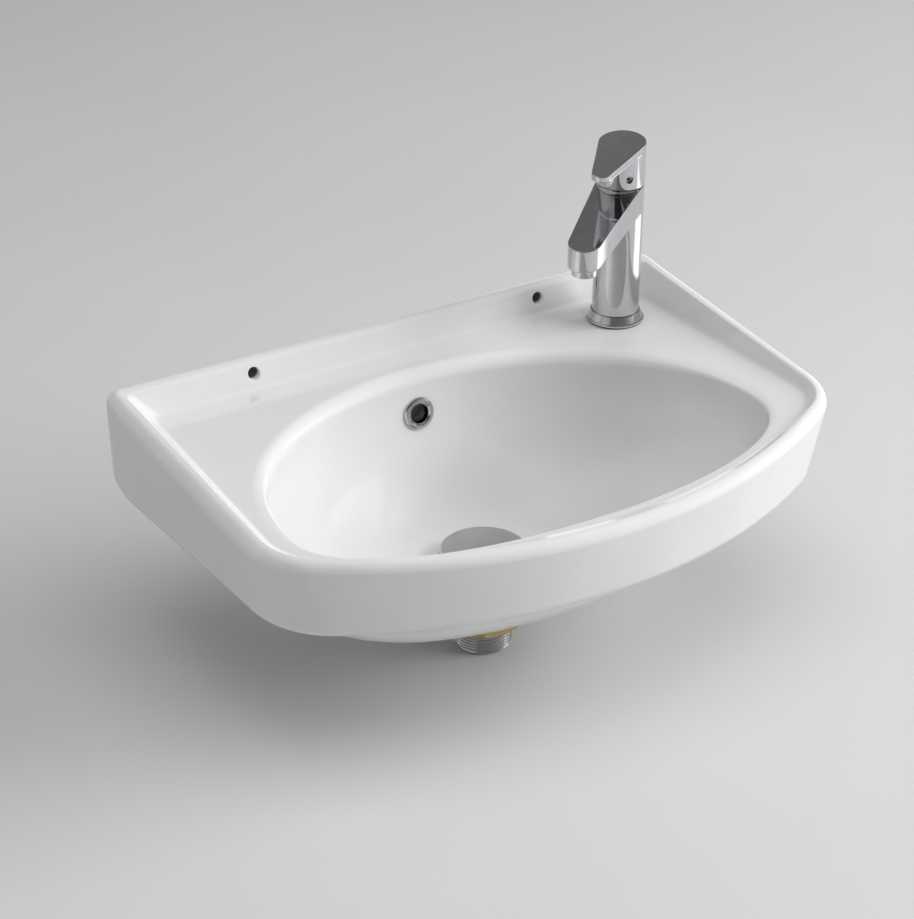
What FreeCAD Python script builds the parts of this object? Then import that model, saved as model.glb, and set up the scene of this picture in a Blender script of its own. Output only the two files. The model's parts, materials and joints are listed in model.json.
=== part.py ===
"""Wall-hung washbasin with a corner tap and a click-clack waste.

The origin is midway between the two wall-fixing holes, on the wall plane.
+X is to the right seen from the front, +Y runs into the wall and +Z is up.
All lengths are in millimetres and all angles in degrees.
"""
import FreeCAD, Part
import math
import os

from FreeCAD import Vector

# Basin, outside
WIDTH = 457.0
DEPTH = 305.0
HOLE_RISE = 10.0
LEDGE_RISE = 19.0
LEDGE_TOP = 14.0
LEDGE_FOOT = 21.0
FRONT_FALL = 3.6
APRON_DROP = 59.0
FRONT_RADIUS = 390.0
CORNER_RADIUS = 48.0
CORNER_SHARE = 0.66
TUCK_REAR = 2.0
TUCK_CORNER = 10.5
TUCK_FRONT = 7.0
TUCK_ROUND = 18.0
RIM_ROUND = 7.0
FOOT_ROUND = 3.0
EASE_SHARE = 0.3

# Basin, side lips and deck
LIP_TOP = 12.5
LIP_FOOT_REAR = 28.0
LIP_FOOT_CORNER = 19.0
LIP_FOOT_FRONT = 20.0
LIP_ROUND = 12.0
DECK_THICK = 13.0
APRON_WALL = 11.0
REAR_WALL = 16.0
FIXING_SPAN = 238.0
FIXING_R = 4.25

# Bowl, shrunk from its edge outline towards the waste by a superellipse law
BOWL_SHIFT = 9.5
BOWL_DEPTH = 108.5
BOWL_SIDE = 44.0
BOWL_WIDE_STRIP = 100.0
BOWL_REAR = 56.0
BOWL_STRIP = 21.0
BOWL_WALL = 9.0
BOWL_EDGE = 6.5
BOWL_SWELL_SHARE = 2.2
BOWL_POINTS = 16
BOWL_LEVELS_DEG = (0.0, 17.0, 34.0, 50.0, 63.0, 72.5, 79.0)
FLOOR_R = 85.0
FLOOR_GAP = 0.968
EDGE_STEPS = 3

# Waste seat and overflow
WASTE_Y = 146.0
WASTE_R = 20.95
WASTE_GAP = 1.5
FLANGE_R = 31.5
FLANGE_THICK = 3.0
FLANGE_GAP = 1.5
SEAL_THICK = 1.0
BOSS_R = 38.0
BOSS_DEEP = 34.0
CHAMBER_R = 30.0
CHAMBER_TOP = 9.0
CHAMBER_FOOT = 26.0
OVERFLOW_DROP = 32.0
OVERFLOW_R = 9.0
OVERFLOW_LEAN_DEG = 0.2187
DUCT_SKIN = 6.0
DUCT_DEEP = 8.0
DUCT_WIDE = 30.0
DUCT_LEVELS_DEG = (6.0, 20.0, 34.0, 45.0, 55.0, 65.0, 76.0)
DUCT_STEP_DEG = 1.0
RING_R = 12.3
RING_HOLE_R = 6.2
RING_PROUD = 2.2
RING_LIP = 1.2
RING_SLEEVE = 9.0
SLEEVE_GAP = 0.5
RING_STAND = 0.8

# Waste and plug
WASTE_BORE_R = 17.0
TAIL_LONG = 16.5
MOUTH_R = 22.5
FLANGE_SEAL_IN = 23.0
SLOT_WIDE = 8.0
SLOT_HIGH = 11.0
SLOT_DROP = 10.0
WEB_WIDE = 5.0
WEB_HIGH = 6.0
WEB_DROP = 50.0
WEB_HUB_R = 9.0
WEB_BITE = 1.5
LOWER_SEAL = 4.0
FRICTION_THICK = 2.0
NUT_HIGH = 8.0
NUT_R = 29.0
UNDER_R = 31.0
CLICK_R = 6.0
CLICK_TOP = 16.0
CLICK_LONG = 44.0
CLICK_BORE = 36.0
STEM_R = 3.0
STEM_LONG = 46.0
PLUG_R = 30.7
PLUG_THICK = 4.5
PLUG_LIFT = 11.0
PLUG_CHAMFER = 0.8
PLUG_HUB_R = 6.0
PLUG_HUB = 8.0
STEM_SOCKET = 6.0
PLUG_SEAL_R = 20.5
PLUG_SEAL_IN = 14.0
PLUG_SEAL = 2.5

# Tap, outside
TAP_INSET = 66.5
TAP_Y = 55.5
TAP_HEADING_DEG = -143.0
LANDING_R = 25.0
TAP_HOLE_R = 16.0
BODY_R = 17.4
SEAM_HIGH = 107.4
SPOUT_REACH = 80.0
SPOUT_TIP_R = 12.0
SPOUT_TOP = 108.7
SPOUT_TOP_SLOPE_SHARE = 0.191
SPOUT_UNDER = 88.0
SPOUT_UNDER_SLOPE_SHARE = 0.146
BASE_R = 21.5
BASE_LIP = 2.6
BASE_HIGH = 8.2
BASE_GAP = 0.1
GASKET_R = 20.5
GASKET_THICK = 1.0
LEVER_REACH = 46.4
LEVER_TIP_R = 7.4
LEVER_TOP = 139.1
LEVER_SLOPE_SHARE = 0.129
LEVER_THICK = 4.8
SEAM_GAP = 0.5
GRUB_HIGH = 116.1
GRUB_TURN_DEG = 38.0
GRUB_R = 2.5
GRUB_SUNK = 2.0
GRUB_KEY_R = 1.25
GRUB_KEY_DEEP = 3.0

# Tap, inside
SHANK_R = 10.48
SHANK_BORE_R = 6.0
SHANK_IN = 16.0
SHANK_LONG = 62.0
TAP_WASHER_R = 23.0
TAP_WASHER = 3.0
TAP_NUT_R = 17.3
TAP_NUT = 9.0
THREAD_GAP = 0.1
THREAD_DEEP = 0.5
THREAD_START = 1.5
WATER_R = 6.5
CHAMBER_LOW = 80.0
CARTRIDGE_R = 11.0
CARTRIDGE_GAP = 0.1
CARTRIDGE_SEAL = 2.5
CARTRIDGE_SEAL_IN = 6.5
DISC_BAY_R = 9.3
DISC_R = 9.0
DISC_THICK = 4.0
DISC_PORT_R = 2.6
DISC_PORT_OUT = 5.0
DISC_GAP = 0.05
DRIVER_HIGH = 5.0
BAY_HEAD = 0.5
NECK_R = 5.0
NECK_GAP = 0.05
GLAND_R = 13.5
GLAND_IN = 3.4
GLAND_OUT = 2.0
GLAND_GAP = 0.4
SPLINE_R = 4.0
SPLINE_GAP = 0.02
SPINDLE_TOP = 125.0
CAVITY_R = 15.0
CAVITY_HIGH = 3.6
SPINDLE_STEP_GAP = 0.4
SEAL_CORD_R = 0.9
SEAL_HIGH = 100.0
SEAL_CORD_SHARE = 0.55
PORT_R = 3.5
CHANNEL_FALL = 11.0
AERATOR_R = 8.95
AERATOR_SOCKET_R = 8.2
AERATOR_SOCKET_TOP = 84.0
AERATOR_FOOT = 69.0
AERATOR_SKIRT = 5.6
AERATOR_WALL = 1.5
AERATOR_INSERT = 7.0
AERATOR_SUNK = 1.0
AERATOR_SEAL = 1.5
AERATOR_GAP = 0.1

OVERRUN = 20.0
TOUCH = 0.01
UP = Vector(0, 0, 1)
ACROSS = Vector(1, 0, 0)

DECK_Z = -HOLE_RISE
APRON_Z = DECK_Z - APRON_DROP
WASTE_AXIS = Vector(-BOWL_SHIFT, -WASTE_Y, 0)
BOWL_HALF = WIDTH / 2 - BOWL_SIDE
BOWL_FRONT = DEPTH - BOWL_STRIP
BOWL_WIDEST = DEPTH - BOWL_WIDE_STRIP
TAP_X = WIDTH / 2 - TAP_INSET
WASTE_CORE_R = WASTE_R - THREAD_DEEP
SHANK_CORE_R = SHANK_R - THREAD_DEEP


def level_line(z_rear, y_rear, z_front):
    """Return the height as a function of y, straight from the rear line to the front edge."""
    fall = (z_front - z_rear) / (DEPTH - y_rear)
    return lambda y: z_rear + fall * (-y - y_rear)


RIM = level_line(DECK_Z + LEDGE_RISE, 0, DECK_Z - FRONT_FALL)
DECK = level_line(DECK_Z, LEDGE_FOOT, DECK_Z - FRONT_FALL)
FLOOR_Z = DECK(-WASTE_Y) - BOWL_DEPTH
LANDING_Z = DECK(LANDING_R - TAP_Y)
SEAT_R = FLANGE_R + FLANGE_GAP


def ring(outer, inner, low, high):
    """Return an upright tube on the Z axis between two heights."""
    tube = Part.makeCylinder(outer, high - low, Vector(0, 0, low))
    bore = Part.makeCylinder(inner, high - low + 2 * OVERRUN, Vector(0, 0, low - OVERRUN))
    return tube.cut(bore)


def turned(profile):
    """Return the solid turned about Z from (radius, height) points."""
    points = [Vector(r, 0, z) for r, z in profile]
    face = Part.Face(Part.makePolygon(points + points[:1]))
    return face.revolve(Vector(0, 0, 0), UP, 360)


def hexagon(radius, bore, low, high):
    """Return a hexagon nut on the Z axis, radius measured to its corners."""
    corners = [Vector(radius * math.cos(math.radians(60 * k)), radius * math.sin(math.radians(60 * k)), low)
               for k in range(7)]
    block = Part.Face(Part.makePolygon(corners)).extrude(UP * (high - low))
    return block.cut(Part.makeCylinder(bore, high - low + 2 * OVERRUN, Vector(0, 0, low - OVERRUN)))


def outline(half_rear, half_corner, rear_y, front_y, front_r, corner_r, level):
    """Return a closed wire: straight rear, two sides, two round corners and a bowed front."""
    slant = math.atan2(half_rear - half_corner, DEPTH * CORNER_SHARE)
    along = Vector(-math.sin(slant), -math.cos(slant), 0)
    inward = Vector(-math.cos(slant), math.sin(slant), 0)
    start = Vector(half_rear, rear_y, 0)
    hub = Vector(0, front_y + front_r, 0)
    reach = start + inward * corner_r - hub
    run = -reach.dot(along) + math.sqrt(reach.dot(along) ** 2 - reach.dot(reach) + (front_r - corner_r) ** 2)
    side_end = start + along * run
    centre = side_end + inward * corner_r
    outward = (centre - hub).normalize()
    bend = (outward - inward).normalize()
    front_end = hub + outward * front_r
    points = [start, side_end, centre + bend * corner_r, front_end, Vector(0, front_y, 0)]

    def lifted(point, sign):
        return Vector(sign * point.x, point.y, level(point.y))

    right = [lifted(point, 1) for point in points]
    left = [lifted(point, -1) for point in points]
    return Part.Wire([
        Part.LineSegment(left[0], right[0]).toShape(),
        Part.LineSegment(right[0], right[1]).toShape(),
        Part.Arc(right[1], right[2], right[3]).toShape(),
        Part.Arc(right[3], right[4], left[3]).toShape(),
        Part.Arc(left[3], left[2], left[1]).toShape(),
        Part.LineSegment(left[1], left[0]).toShape(),
    ])


def rim_outline(inset, rear_inset, level):
    """Return the rim's plan outline drawn in by an inset."""
    half = WIDTH / 2 - inset
    return outline(half, half, -rear_inset, inset - DEPTH, FRONT_RADIUS - inset, CORNER_RADIUS - inset, level)


def apron_outline(inset, rear_inset, level):
    """Return the apron's lower outline, tucked in below the rim and drawn in by an inset."""
    half = WIDTH / 2 - inset
    return outline(half - TUCK_REAR, half - TUCK_CORNER, -rear_inset, inset + TUCK_FRONT - DEPTH,
                   FRONT_RADIUS - TUCK_FRONT - inset, CORNER_RADIUS + TUCK_ROUND - inset, level)


def lip_foot_outline(level):
    """Return the line where the lips and the ledge meet the deck."""
    half = WIDTH / 2
    return outline(half - LIP_FOOT_REAR, half - LIP_FOOT_CORNER, -LEDGE_FOOT, LIP_FOOT_FRONT - DEPTH,
                   FRONT_RADIUS - LIP_FOOT_FRONT, CORNER_RADIUS - LIP_ROUND, level)


def basin_block():
    """Return the solid block between the apron's lower edge and the sloping rim, with its edges eased."""
    half_ease = RIM_ROUND * EASE_SHARE

    def under_rim(drop):
        return lambda y: RIM(y) - drop

    sections = [
        apron_outline(FOOT_ROUND, -OVERRUN, lambda y: APRON_Z),
        apron_outline(0, -OVERRUN, lambda y: APRON_Z + FOOT_ROUND),
        rim_outline(0, -OVERRUN, under_rim(RIM_ROUND)),
        rim_outline(half_ease, half_ease - OVERRUN, under_rim(half_ease)),
        rim_outline(RIM_ROUND, RIM_ROUND - OVERRUN, RIM),
    ]
    block = Part.makeLoft(sections, True, True)
    high = LEDGE_RISE + APRON_DROP + 2 * OVERRUN
    return block.cut(Part.makeBox(2 * WIDTH, 2 * OVERRUN, high, Vector(-WIDTH, 0, APRON_Z - OVERRUN)))


def deck_recess():
    """Return what is taken away between the rim and the deck."""
    foot = lip_foot_outline(DECK)
    crest = rim_outline(LIP_TOP, LEDGE_TOP, RIM)
    slope = Part.makeLoft([foot, crest], True, True)
    return slope.fuse(Part.Face(crest).extrude(UP * OVERRUN))


def underside():
    """Return the hollow below the deck, inside the apron."""
    top = DECK_Z - FRONT_FALL - DECK_THICK
    low = apron_outline(APRON_WALL, REAR_WALL, lambda y: APRON_Z)
    high = rim_outline(APRON_WALL, REAR_WALL, lambda y: top)
    hollow = Part.makeLoft([low, high], True, True)
    return hollow.fuse(Part.Face(low).extrude(UP * -OVERRUN))


def bowl_height(out, y, depth):
    """Return the height of a bowl point, drawn down to a level floor near the waste's axis."""
    run_share = min(max((out - SEAT_R) / (FLOOR_R - SEAT_R), 0), 1)
    rise_share = (1 - math.cos(math.pi * run_share)) / 2
    return FLOOR_Z + (DECK(y) - depth - FLOOR_Z) * rise_share


def bowl_outline(grow):
    """Return the points of the bowl's edge outline, grown, measured from the waste's axis."""
    points = []
    for step in range(BOWL_POINTS):
        turn = 2 * math.pi * step / BOWL_POINTS
        rear = math.sin(turn) >= 0
        power = 1 if rear else 2 / BOWL_SWELL_SHARE
        reach = BOWL_WIDEST - BOWL_REAR if rear else BOWL_FRONT - BOWL_WIDEST
        x = math.copysign(abs(math.cos(turn)) ** power, math.cos(turn)) * (BOWL_HALF + grow)
        y = math.copysign(abs(math.sin(turn)) ** power, math.sin(turn)) * (reach + grow)
        points.append(Vector(x, WASTE_Y - BOWL_WIDEST + y, 0))
    return points


def bowl_section(share, grow, depth, lower):
    """Return one level of the bowl: its edge outline grown, shrunk towards the waste, then lowered."""
    points = []
    for edge in bowl_outline(grow):
        point = edge * share
        height = bowl_height(point.Length, point.y - WASTE_Y, depth) - lower
        points.append(WASTE_AXIS + point + UP * height)
    curve = Part.BSplineCurve()
    curve.interpolate(Points=points, PeriodicFlag=True)
    return Part.Wire(curve.toShape())


def bowl_shares(level):
    """Return the width share and depth share at a bowl level given as an angle."""
    power = 2 / BOWL_SWELL_SHARE
    return math.cos(math.radians(level)) ** power, math.sin(math.radians(level)) ** power


def floor_level():
    """Return the last level, as an angle: there the whole wall is inside the waste seat and level."""
    reach = max(point.Length for point in bowl_outline(BOWL_WALL))
    width_share = (SEAT_R - FLOOR_GAP) / reach
    return math.degrees(math.acos(width_share ** (BOWL_SWELL_SHARE / 2)))


def bowl_solid(grow, lower, ruled):
    """Return the bowl as a solid, grown sideways and lowered for the outside of its wall, ruled or smooth."""
    sections = []
    for level in BOWL_LEVELS_DEG + (floor_level(),):
        width_share, depth_share = bowl_shares(level)
        depth = BOWL_EDGE + (BOWL_DEPTH - BOWL_EDGE) * depth_share
        sections.append(bowl_section(width_share, grow, depth, lower))
    return Part.makeLoft(sections, True, ruled)


def bowl_edge():
    """Return the rounded mouth of the bowl and the space above it."""
    sections = []
    for step in range(EDGE_STEPS + 1):
        turn = math.radians(90 * step / EDGE_STEPS)
        grow, depth = BOWL_EDGE * (1 - math.sin(turn)), BOWL_EDGE * (1 - math.cos(turn))
        sections.append(bowl_section(1, grow, depth, 0))
    mouth = Part.makeLoft(sections, True, True)
    return mouth.fuse(Part.Face(sections[0]).extrude(UP * OVERRUN))


def rear_point(level):
    """Return the (y, z) point of the bowl's rear wall at a level."""
    width_share, depth_share = bowl_shares(level)
    out = (WASTE_Y - BOWL_REAR) * width_share
    depth = BOWL_EDGE + (BOWL_DEPTH - BOWL_EDGE) * depth_share
    return Vector(0, out - WASTE_Y, bowl_height(out, out - WASTE_Y, depth))


def rear_run(level):
    """Return the way down the bowl's rear wall at a level."""
    return rear_point(level + DUCT_STEP_DEG) - rear_point(level - DUCT_STEP_DEG)


def rear_wall(level, offset):
    """Return the (y, z) point at an offset behind the bowl's rear wall."""
    return rear_point(level) + ACROSS.cross(rear_run(level)).normalize() * offset


def duct(inner, outer, width):
    """Return a strip that follows the bowl's rear wall between two offsets."""
    near = [rear_wall(level, inner) for level in DUCT_LEVELS_DEG]
    far = [rear_wall(level, outer) for level in DUCT_LEVELS_DEG]
    loop = near + far[::-1] + near[:1]
    face = Part.Face(Part.makePolygon(loop))
    strip = face.extrude(ACROSS * width)
    strip.translate(Vector(-BOWL_SHIFT - width / 2, 0, 0))
    return strip


def on_waste(shape):
    """Move a shape built on the Z axis to the waste axis."""
    return shape.translated(WASTE_AXIS)


def overflow_level():
    """Return the level of the overflow's middle, as an angle."""
    depth_share = (OVERFLOW_DROP - BOWL_EDGE) / (BOWL_DEPTH - BOWL_EDGE)
    return math.degrees(math.asin(depth_share ** (BOWL_SWELL_SHARE / 2)))


def overflow_tilt():
    """Return the overflow's tilt from upright in degrees, a little steeper than the wall there."""
    run = rear_run(overflow_level())
    return math.degrees(math.atan2(-run.y, -run.z)) - OVERFLOW_LEAN_DEG


def overflow_axis():
    """Return the overflow's centre on the bowl wall and its direction into the bowl."""
    tilt = math.radians(overflow_tilt())
    return rear_wall(overflow_level(), 0) - ACROSS * BOWL_SHIFT, Vector(0, -math.cos(tilt), math.sin(tilt))


def basin_holes():
    """Return every hole bored through the basin."""
    holes = []
    for side in (-1, 1):
        holes.append(Part.makeCylinder(FIXING_R, LEDGE_FOOT + 2 * OVERRUN,
                                       Vector(side * FIXING_SPAN / 2, OVERRUN, 0), Vector(0, -1, 0)))
    holes.append(Part.makeCylinder(TAP_HOLE_R, 2 * OVERRUN, Vector(TAP_X, -TAP_Y, LANDING_Z - OVERRUN)))
    centre, into = overflow_axis()
    deep = DUCT_SKIN + DUCT_DEEP / 2
    holes.append(Part.makeCylinder(OVERFLOW_R, deep + OVERRUN, centre - into * deep, into))
    seat = FLOOR_Z - FLANGE_THICK - SEAL_THICK
    holes.append(on_waste(Part.makeCylinder(SEAT_R, OVERRUN, Vector(0, 0, seat))))
    holes.append(on_waste(Part.makeCylinder(WASTE_R + WASTE_GAP, BOSS_DEEP + OVERRUN,
                                            Vector(0, 0, FLOOR_Z - BOSS_DEEP - OVERRUN / 2))))
    holes.append(on_waste(Part.makeCylinder(CHAMBER_R, CHAMBER_FOOT - CHAMBER_TOP,
                                            Vector(0, 0, FLOOR_Z - CHAMBER_FOOT))))
    holes.append(duct(DUCT_SKIN, DUCT_SKIN + DUCT_DEEP, DUCT_WIDE))
    return holes


def make_basin():
    """Build the ceramic basin in one piece."""
    basin = basin_block().cut(underside()).cut(deck_recess())
    landing = Part.makeCylinder(LANDING_R, DECK_THICK, Vector(TAP_X, -TAP_Y, LANDING_Z - DECK_THICK))
    boss = on_waste(Part.makeCylinder(BOSS_R, BOSS_DEEP, Vector(0, 0, FLOOR_Z - BOSS_DEEP)))
    shell = bowl_solid(BOWL_WALL, BOWL_WALL, True)
    bump = duct(0, 2 * DUCT_SKIN + DUCT_DEEP, DUCT_WIDE + 2 * DUCT_SKIN)
    basin = basin.fuse([landing, shell, boss, bump])
    basin = basin.cut(bowl_edge()).cut(bowl_solid(0, 0, False))
    for hole in basin_holes():
        basin = basin.cut(hole)
    return basin


def make_overflow_ring():
    """Build the chrome trim ring: a rounded rim with a sleeve in the overflow hole."""
    round_r = (RING_R - RING_HOLE_R) / 2
    rim = Part.makeTorus(RING_HOLE_R + round_r, round_r)
    rim = rim.common(Part.makeCylinder(RING_R, RING_PROUD))
    sleeve_r = OVERFLOW_R - SLEEVE_GAP
    sleeve = ring(sleeve_r, RING_HOLE_R, -RING_SLEEVE, RING_LIP)
    seat = ring(RING_R, RING_HOLE_R, 0, RING_LIP)
    shape = rim.fuse([sleeve, seat]).removeSplitter()
    centre, into = overflow_axis()
    shape.rotate(Vector(0, 0, 0), ACROSS, 90 - overflow_tilt())
    return shape.translated(centre + into * RING_STAND)


def on_tap(shape):
    """Move a shape built on the Z axis, with its spout along +X, to the tap hole."""
    moved = shape.copy()
    moved.rotate(Vector(0, 0, 0), UP, TAP_HEADING_DEG)
    return moved.translated(Vector(TAP_X, -TAP_Y, LANDING_Z))


def teardrop(big_r, tip_r, reach, low, high):
    """Return an upright prism round two circles and their common tangents."""
    turn = math.asin((big_r - tip_r) / reach)
    unit = Vector(math.sin(turn), math.cos(turn), 0)
    tip = ACROSS * reach
    mirror = Vector(unit.x, -unit.y, 0)
    wire = Part.Wire([
        Part.Arc(mirror * big_r, ACROSS * -big_r, unit * big_r).toShape(),
        Part.LineSegment(unit * big_r, tip + unit * tip_r).toShape(),
        Part.Arc(tip + unit * tip_r, tip + ACROSS * tip_r, tip + mirror * tip_r).toShape(),
        Part.LineSegment(tip + mirror * tip_r, mirror * big_r).toShape(),
    ])
    return Part.Face(wire).extrude(UP * (high - low)).translated(UP * low)


def side_prism(points, half):
    """Return a prism across the tap from (reach, height) points."""
    loop = [Vector(s, -half, z) for s, z in points]
    return Part.Face(Part.makePolygon(loop + loop[:1])).extrude(Vector(0, 2 * half, 0))


def spout_arm():
    """Return the slanted spout, teardrop in plan, falling from the seam to its tip."""
    end = SPOUT_REACH + SPOUT_TIP_R
    crest = (SPOUT_TOP - SEAM_HIGH) / SPOUT_TOP_SLOPE_SHARE
    side = [(0, SEAM_HIGH), (crest, SEAM_HIGH), (end, SPOUT_TOP - SPOUT_TOP_SLOPE_SHARE * end),
            (end, SPOUT_UNDER - SPOUT_UNDER_SLOPE_SHARE * end), (0, SPOUT_UNDER)]
    plan = teardrop(BODY_R, SPOUT_TIP_R, SPOUT_REACH, 0, SEAM_HIGH)
    return plan.common(side_prism(side, BODY_R))


BAY_LOW = CHAMBER_LOW + CARTRIDGE_SEAL
LOWER_TOP = BAY_LOW + DISC_THICK
UPPER_LOW = LOWER_TOP + DISC_GAP
UPPER_TOP = UPPER_LOW + DISC_THICK
PORT_HIGH = UPPER_TOP + DRIVER_HIGH / 2
DRIVER_TOP = UPPER_TOP + DRIVER_HIGH
BAY_TOP = DRIVER_TOP + BAY_HEAD
HOUSING_TOP = SEAM_HIGH - GLAND_IN
CAVITY_TOP = SEAM_HIGH + SEAM_GAP + CAVITY_HIGH
STEP_HIGH = CAVITY_TOP - SPINDLE_STEP_GAP


def make_tap_body():
    """Build the tap's body with its spout, waterways, cartridge bore and aerator socket."""
    body = Part.makeCylinder(BODY_R, SEAM_HIGH - GASKET_THICK, Vector(0, 0, GASKET_THICK))
    body = body.fuse(spout_arm())
    body = body.cut(Part.makeCylinder(WATER_R, SEAM_HIGH, Vector(0, 0, 0)))
    body = body.cut(Part.makeCylinder(SHANK_CORE_R + THREAD_GAP, SHANK_IN + GASKET_THICK, Vector(0, 0, 0)))
    body = body.cut(Part.makeCylinder(CARTRIDGE_R + CARTRIDGE_GAP, SEAM_HIGH, Vector(0, 0, CHAMBER_LOW)))
    run = Vector(SPOUT_REACH, 0, -CHANNEL_FALL)
    body = body.cut(Part.makeCylinder(PORT_R, run.Length, UP * PORT_HIGH, run))
    socket = Part.makeCylinder(AERATOR_SOCKET_R, AERATOR_SOCKET_TOP - AERATOR_FOOT,
                               Vector(SPOUT_REACH, 0, AERATOR_FOOT))
    return on_tap(body.cut(socket).removeSplitter())


def make_tap_base_ring():
    """Build the flared trim ring round the foot of the body."""
    low, inner = GASKET_THICK, BODY_R + BASE_GAP
    top = inner + BASE_GAP
    return on_tap(turned([(inner, low), (BASE_R, low), (BASE_R, low + BASE_LIP), (top, BASE_HIGH),
                          (inner, BASE_HIGH)]))


def make_tap_base_gasket():
    """Build the flat gasket between the tap and the deck."""
    return on_tap(ring(GASKET_R, SHANK_CORE_R + THREAD_GAP, 0, GASKET_THICK))


def deck_under():
    """Return the height of the deck's underside, measured from the tap landing."""
    return DECK_Z - FRONT_FALL - DECK_THICK - LANDING_Z


def tap_nut_foot():
    """Return the height of the fixing nut's underside, measured from the tap landing."""
    return deck_under() - TAP_WASHER - TAP_NUT


def make_tap_shank():
    """Build the shank, open from end to end, slimmer down to its nut and at full thread size below it."""
    thread = tap_nut_foot() - THREAD_START
    return on_tap(turned([(SHANK_BORE_R, -SHANK_LONG), (SHANK_R, -SHANK_LONG), (SHANK_R, thread),
                          (SHANK_CORE_R, thread), (SHANK_CORE_R, SHANK_IN), (SHANK_BORE_R, SHANK_IN)]))


def make_tap_fixing_washer():
    """Build the washer that bears on the deck from below."""
    top = deck_under()
    return on_tap(ring(TAP_WASHER_R, SHANK_CORE_R + THREAD_GAP, top - TAP_WASHER, top))


def make_tap_fixing_nut():
    """Build the hexagon nut that clamps the tap to the deck."""
    return on_tap(hexagon(TAP_NUT_R, SHANK_CORE_R + THREAD_GAP, tap_nut_foot(), tap_nut_foot() + TAP_NUT))


def make_cartridge_seal():
    """Build the rubber seal under the cartridge."""
    return on_tap(ring(CARTRIDGE_R, CARTRIDGE_SEAL_IN, CHAMBER_LOW, BAY_LOW))


def make_cartridge_housing():
    """Build the cartridge housing: a disc bay below, a neck for the spindle above and two side ports."""
    neck = NECK_R + NECK_GAP
    housing = turned([(DISC_BAY_R, BAY_LOW), (CARTRIDGE_R, BAY_LOW), (CARTRIDGE_R, HOUSING_TOP),
                      (neck, HOUSING_TOP), (neck, BAY_TOP), (DISC_BAY_R, BAY_TOP)])
    port = Part.makeCylinder(PORT_R, 2 * OVERRUN, Vector(-OVERRUN, 0, PORT_HIGH), ACROSS)
    return on_tap(housing.cut(port))


def ceramic_disc(low, turn):
    """Return a ceramic disc with two ports, turned about the tap axis."""
    disc = Part.makeCylinder(DISC_R, DISC_THICK, Vector(0, 0, low))
    for side in (0, 180):
        angle = math.radians(turn + side)
        place = Vector(DISC_PORT_OUT * math.cos(angle), DISC_PORT_OUT * math.sin(angle), low - OVERRUN)
        disc = disc.cut(Part.makeCylinder(DISC_PORT_R, DISC_THICK + 2 * OVERRUN, place))
    return on_tap(disc)


def make_lower_ceramic_disc():
    """Build the fixed disc, with its ports in line with the spout."""
    return ceramic_disc(BAY_LOW, 0)


def make_upper_ceramic_disc():
    """Build the turning disc, with its ports a quarter turn from the fixed ones when shut."""
    return ceramic_disc(UPPER_LOW, 90)


def make_cartridge_spindle():
    """Build the spindle: a driver on the upper disc, a sealed neck and a top that carries the handle."""
    groove_r = NECK_R - SEAL_CORD_R
    low, high = SEAL_HIGH - SEAL_CORD_R, SEAL_HIGH + SEAL_CORD_R
    return on_tap(turned([(0, UPPER_TOP), (DISC_R, UPPER_TOP), (DISC_R, DRIVER_TOP), (NECK_R, DRIVER_TOP),
                          (NECK_R, low), (groove_r, low), (groove_r, high), (NECK_R, high),
                          (NECK_R, STEP_HIGH), (SPLINE_R, STEP_HIGH), (SPLINE_R, SPINDLE_TOP),
                          (0, SPINDLE_TOP)]))


def make_spindle_o_ring():
    """Build the O-ring that fills the spindle's groove."""
    groove_r = NECK_R - SEAL_CORD_R
    half = SEAL_CORD_R * SEAL_CORD_SHARE
    return on_tap(ring(NECK_R, groove_r, SEAL_HIGH - half, SEAL_HIGH + half))


def make_cartridge_gland_nut():
    """Build the gland nut that holds the housing down."""
    inner, head = NECK_R + GLAND_GAP, SEAM_HIGH + GLAND_OUT
    return on_tap(turned([(inner, HOUSING_TOP), (CARTRIDGE_R, HOUSING_TOP), (CARTRIDGE_R, SEAM_HIGH),
                          (GLAND_R, SEAM_HIGH), (GLAND_R, head), (inner, head)]))


def grub_direction():
    """Return the grub screw's outward direction in the tap's own frame."""
    angle = math.radians(GRUB_TURN_DEG)
    return Vector(math.cos(angle), math.sin(angle), 0)


def make_tap_handle():
    """Build the lever handle: a round skirt under a flat teardrop plate that falls to its tip."""
    end = LEVER_REACH + LEVER_TIP_R
    low = SEAM_HIGH + SEAM_GAP
    slope = LEVER_SLOPE_SHARE
    rear, front = LEVER_TOP + slope * BODY_R, LEVER_TOP - slope * end
    plate_side = [(-BODY_R, rear), (end, front), (end, front - LEVER_THICK), (-BODY_R, rear - LEVER_THICK)]
    skirt_side = [(-BODY_R, rear), (BODY_R, LEVER_TOP - slope * BODY_R), (BODY_R, low), (-BODY_R, low)]
    plate = teardrop(BODY_R, LEVER_TIP_R, LEVER_REACH, low, rear).common(side_prism(plate_side, BODY_R))
    skirt = Part.makeCylinder(BODY_R, rear - low, Vector(0, 0, low)).common(side_prism(skirt_side, BODY_R))
    handle = skirt.fuse(plate)
    handle = handle.cut(Part.makeCylinder(CAVITY_R, CAVITY_HIGH, Vector(0, 0, low)))
    socket = SPINDLE_TOP + SPLINE_GAP - low
    handle = handle.cut(Part.makeCylinder(SPLINE_R + SPLINE_GAP, socket, Vector(0, 0, low)))
    screw = Part.makeCylinder(GRUB_R + THREAD_GAP, BODY_R, Vector(0, 0, GRUB_HIGH), grub_direction())
    return on_tap(handle.cut(screw).removeSplitter())


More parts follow.
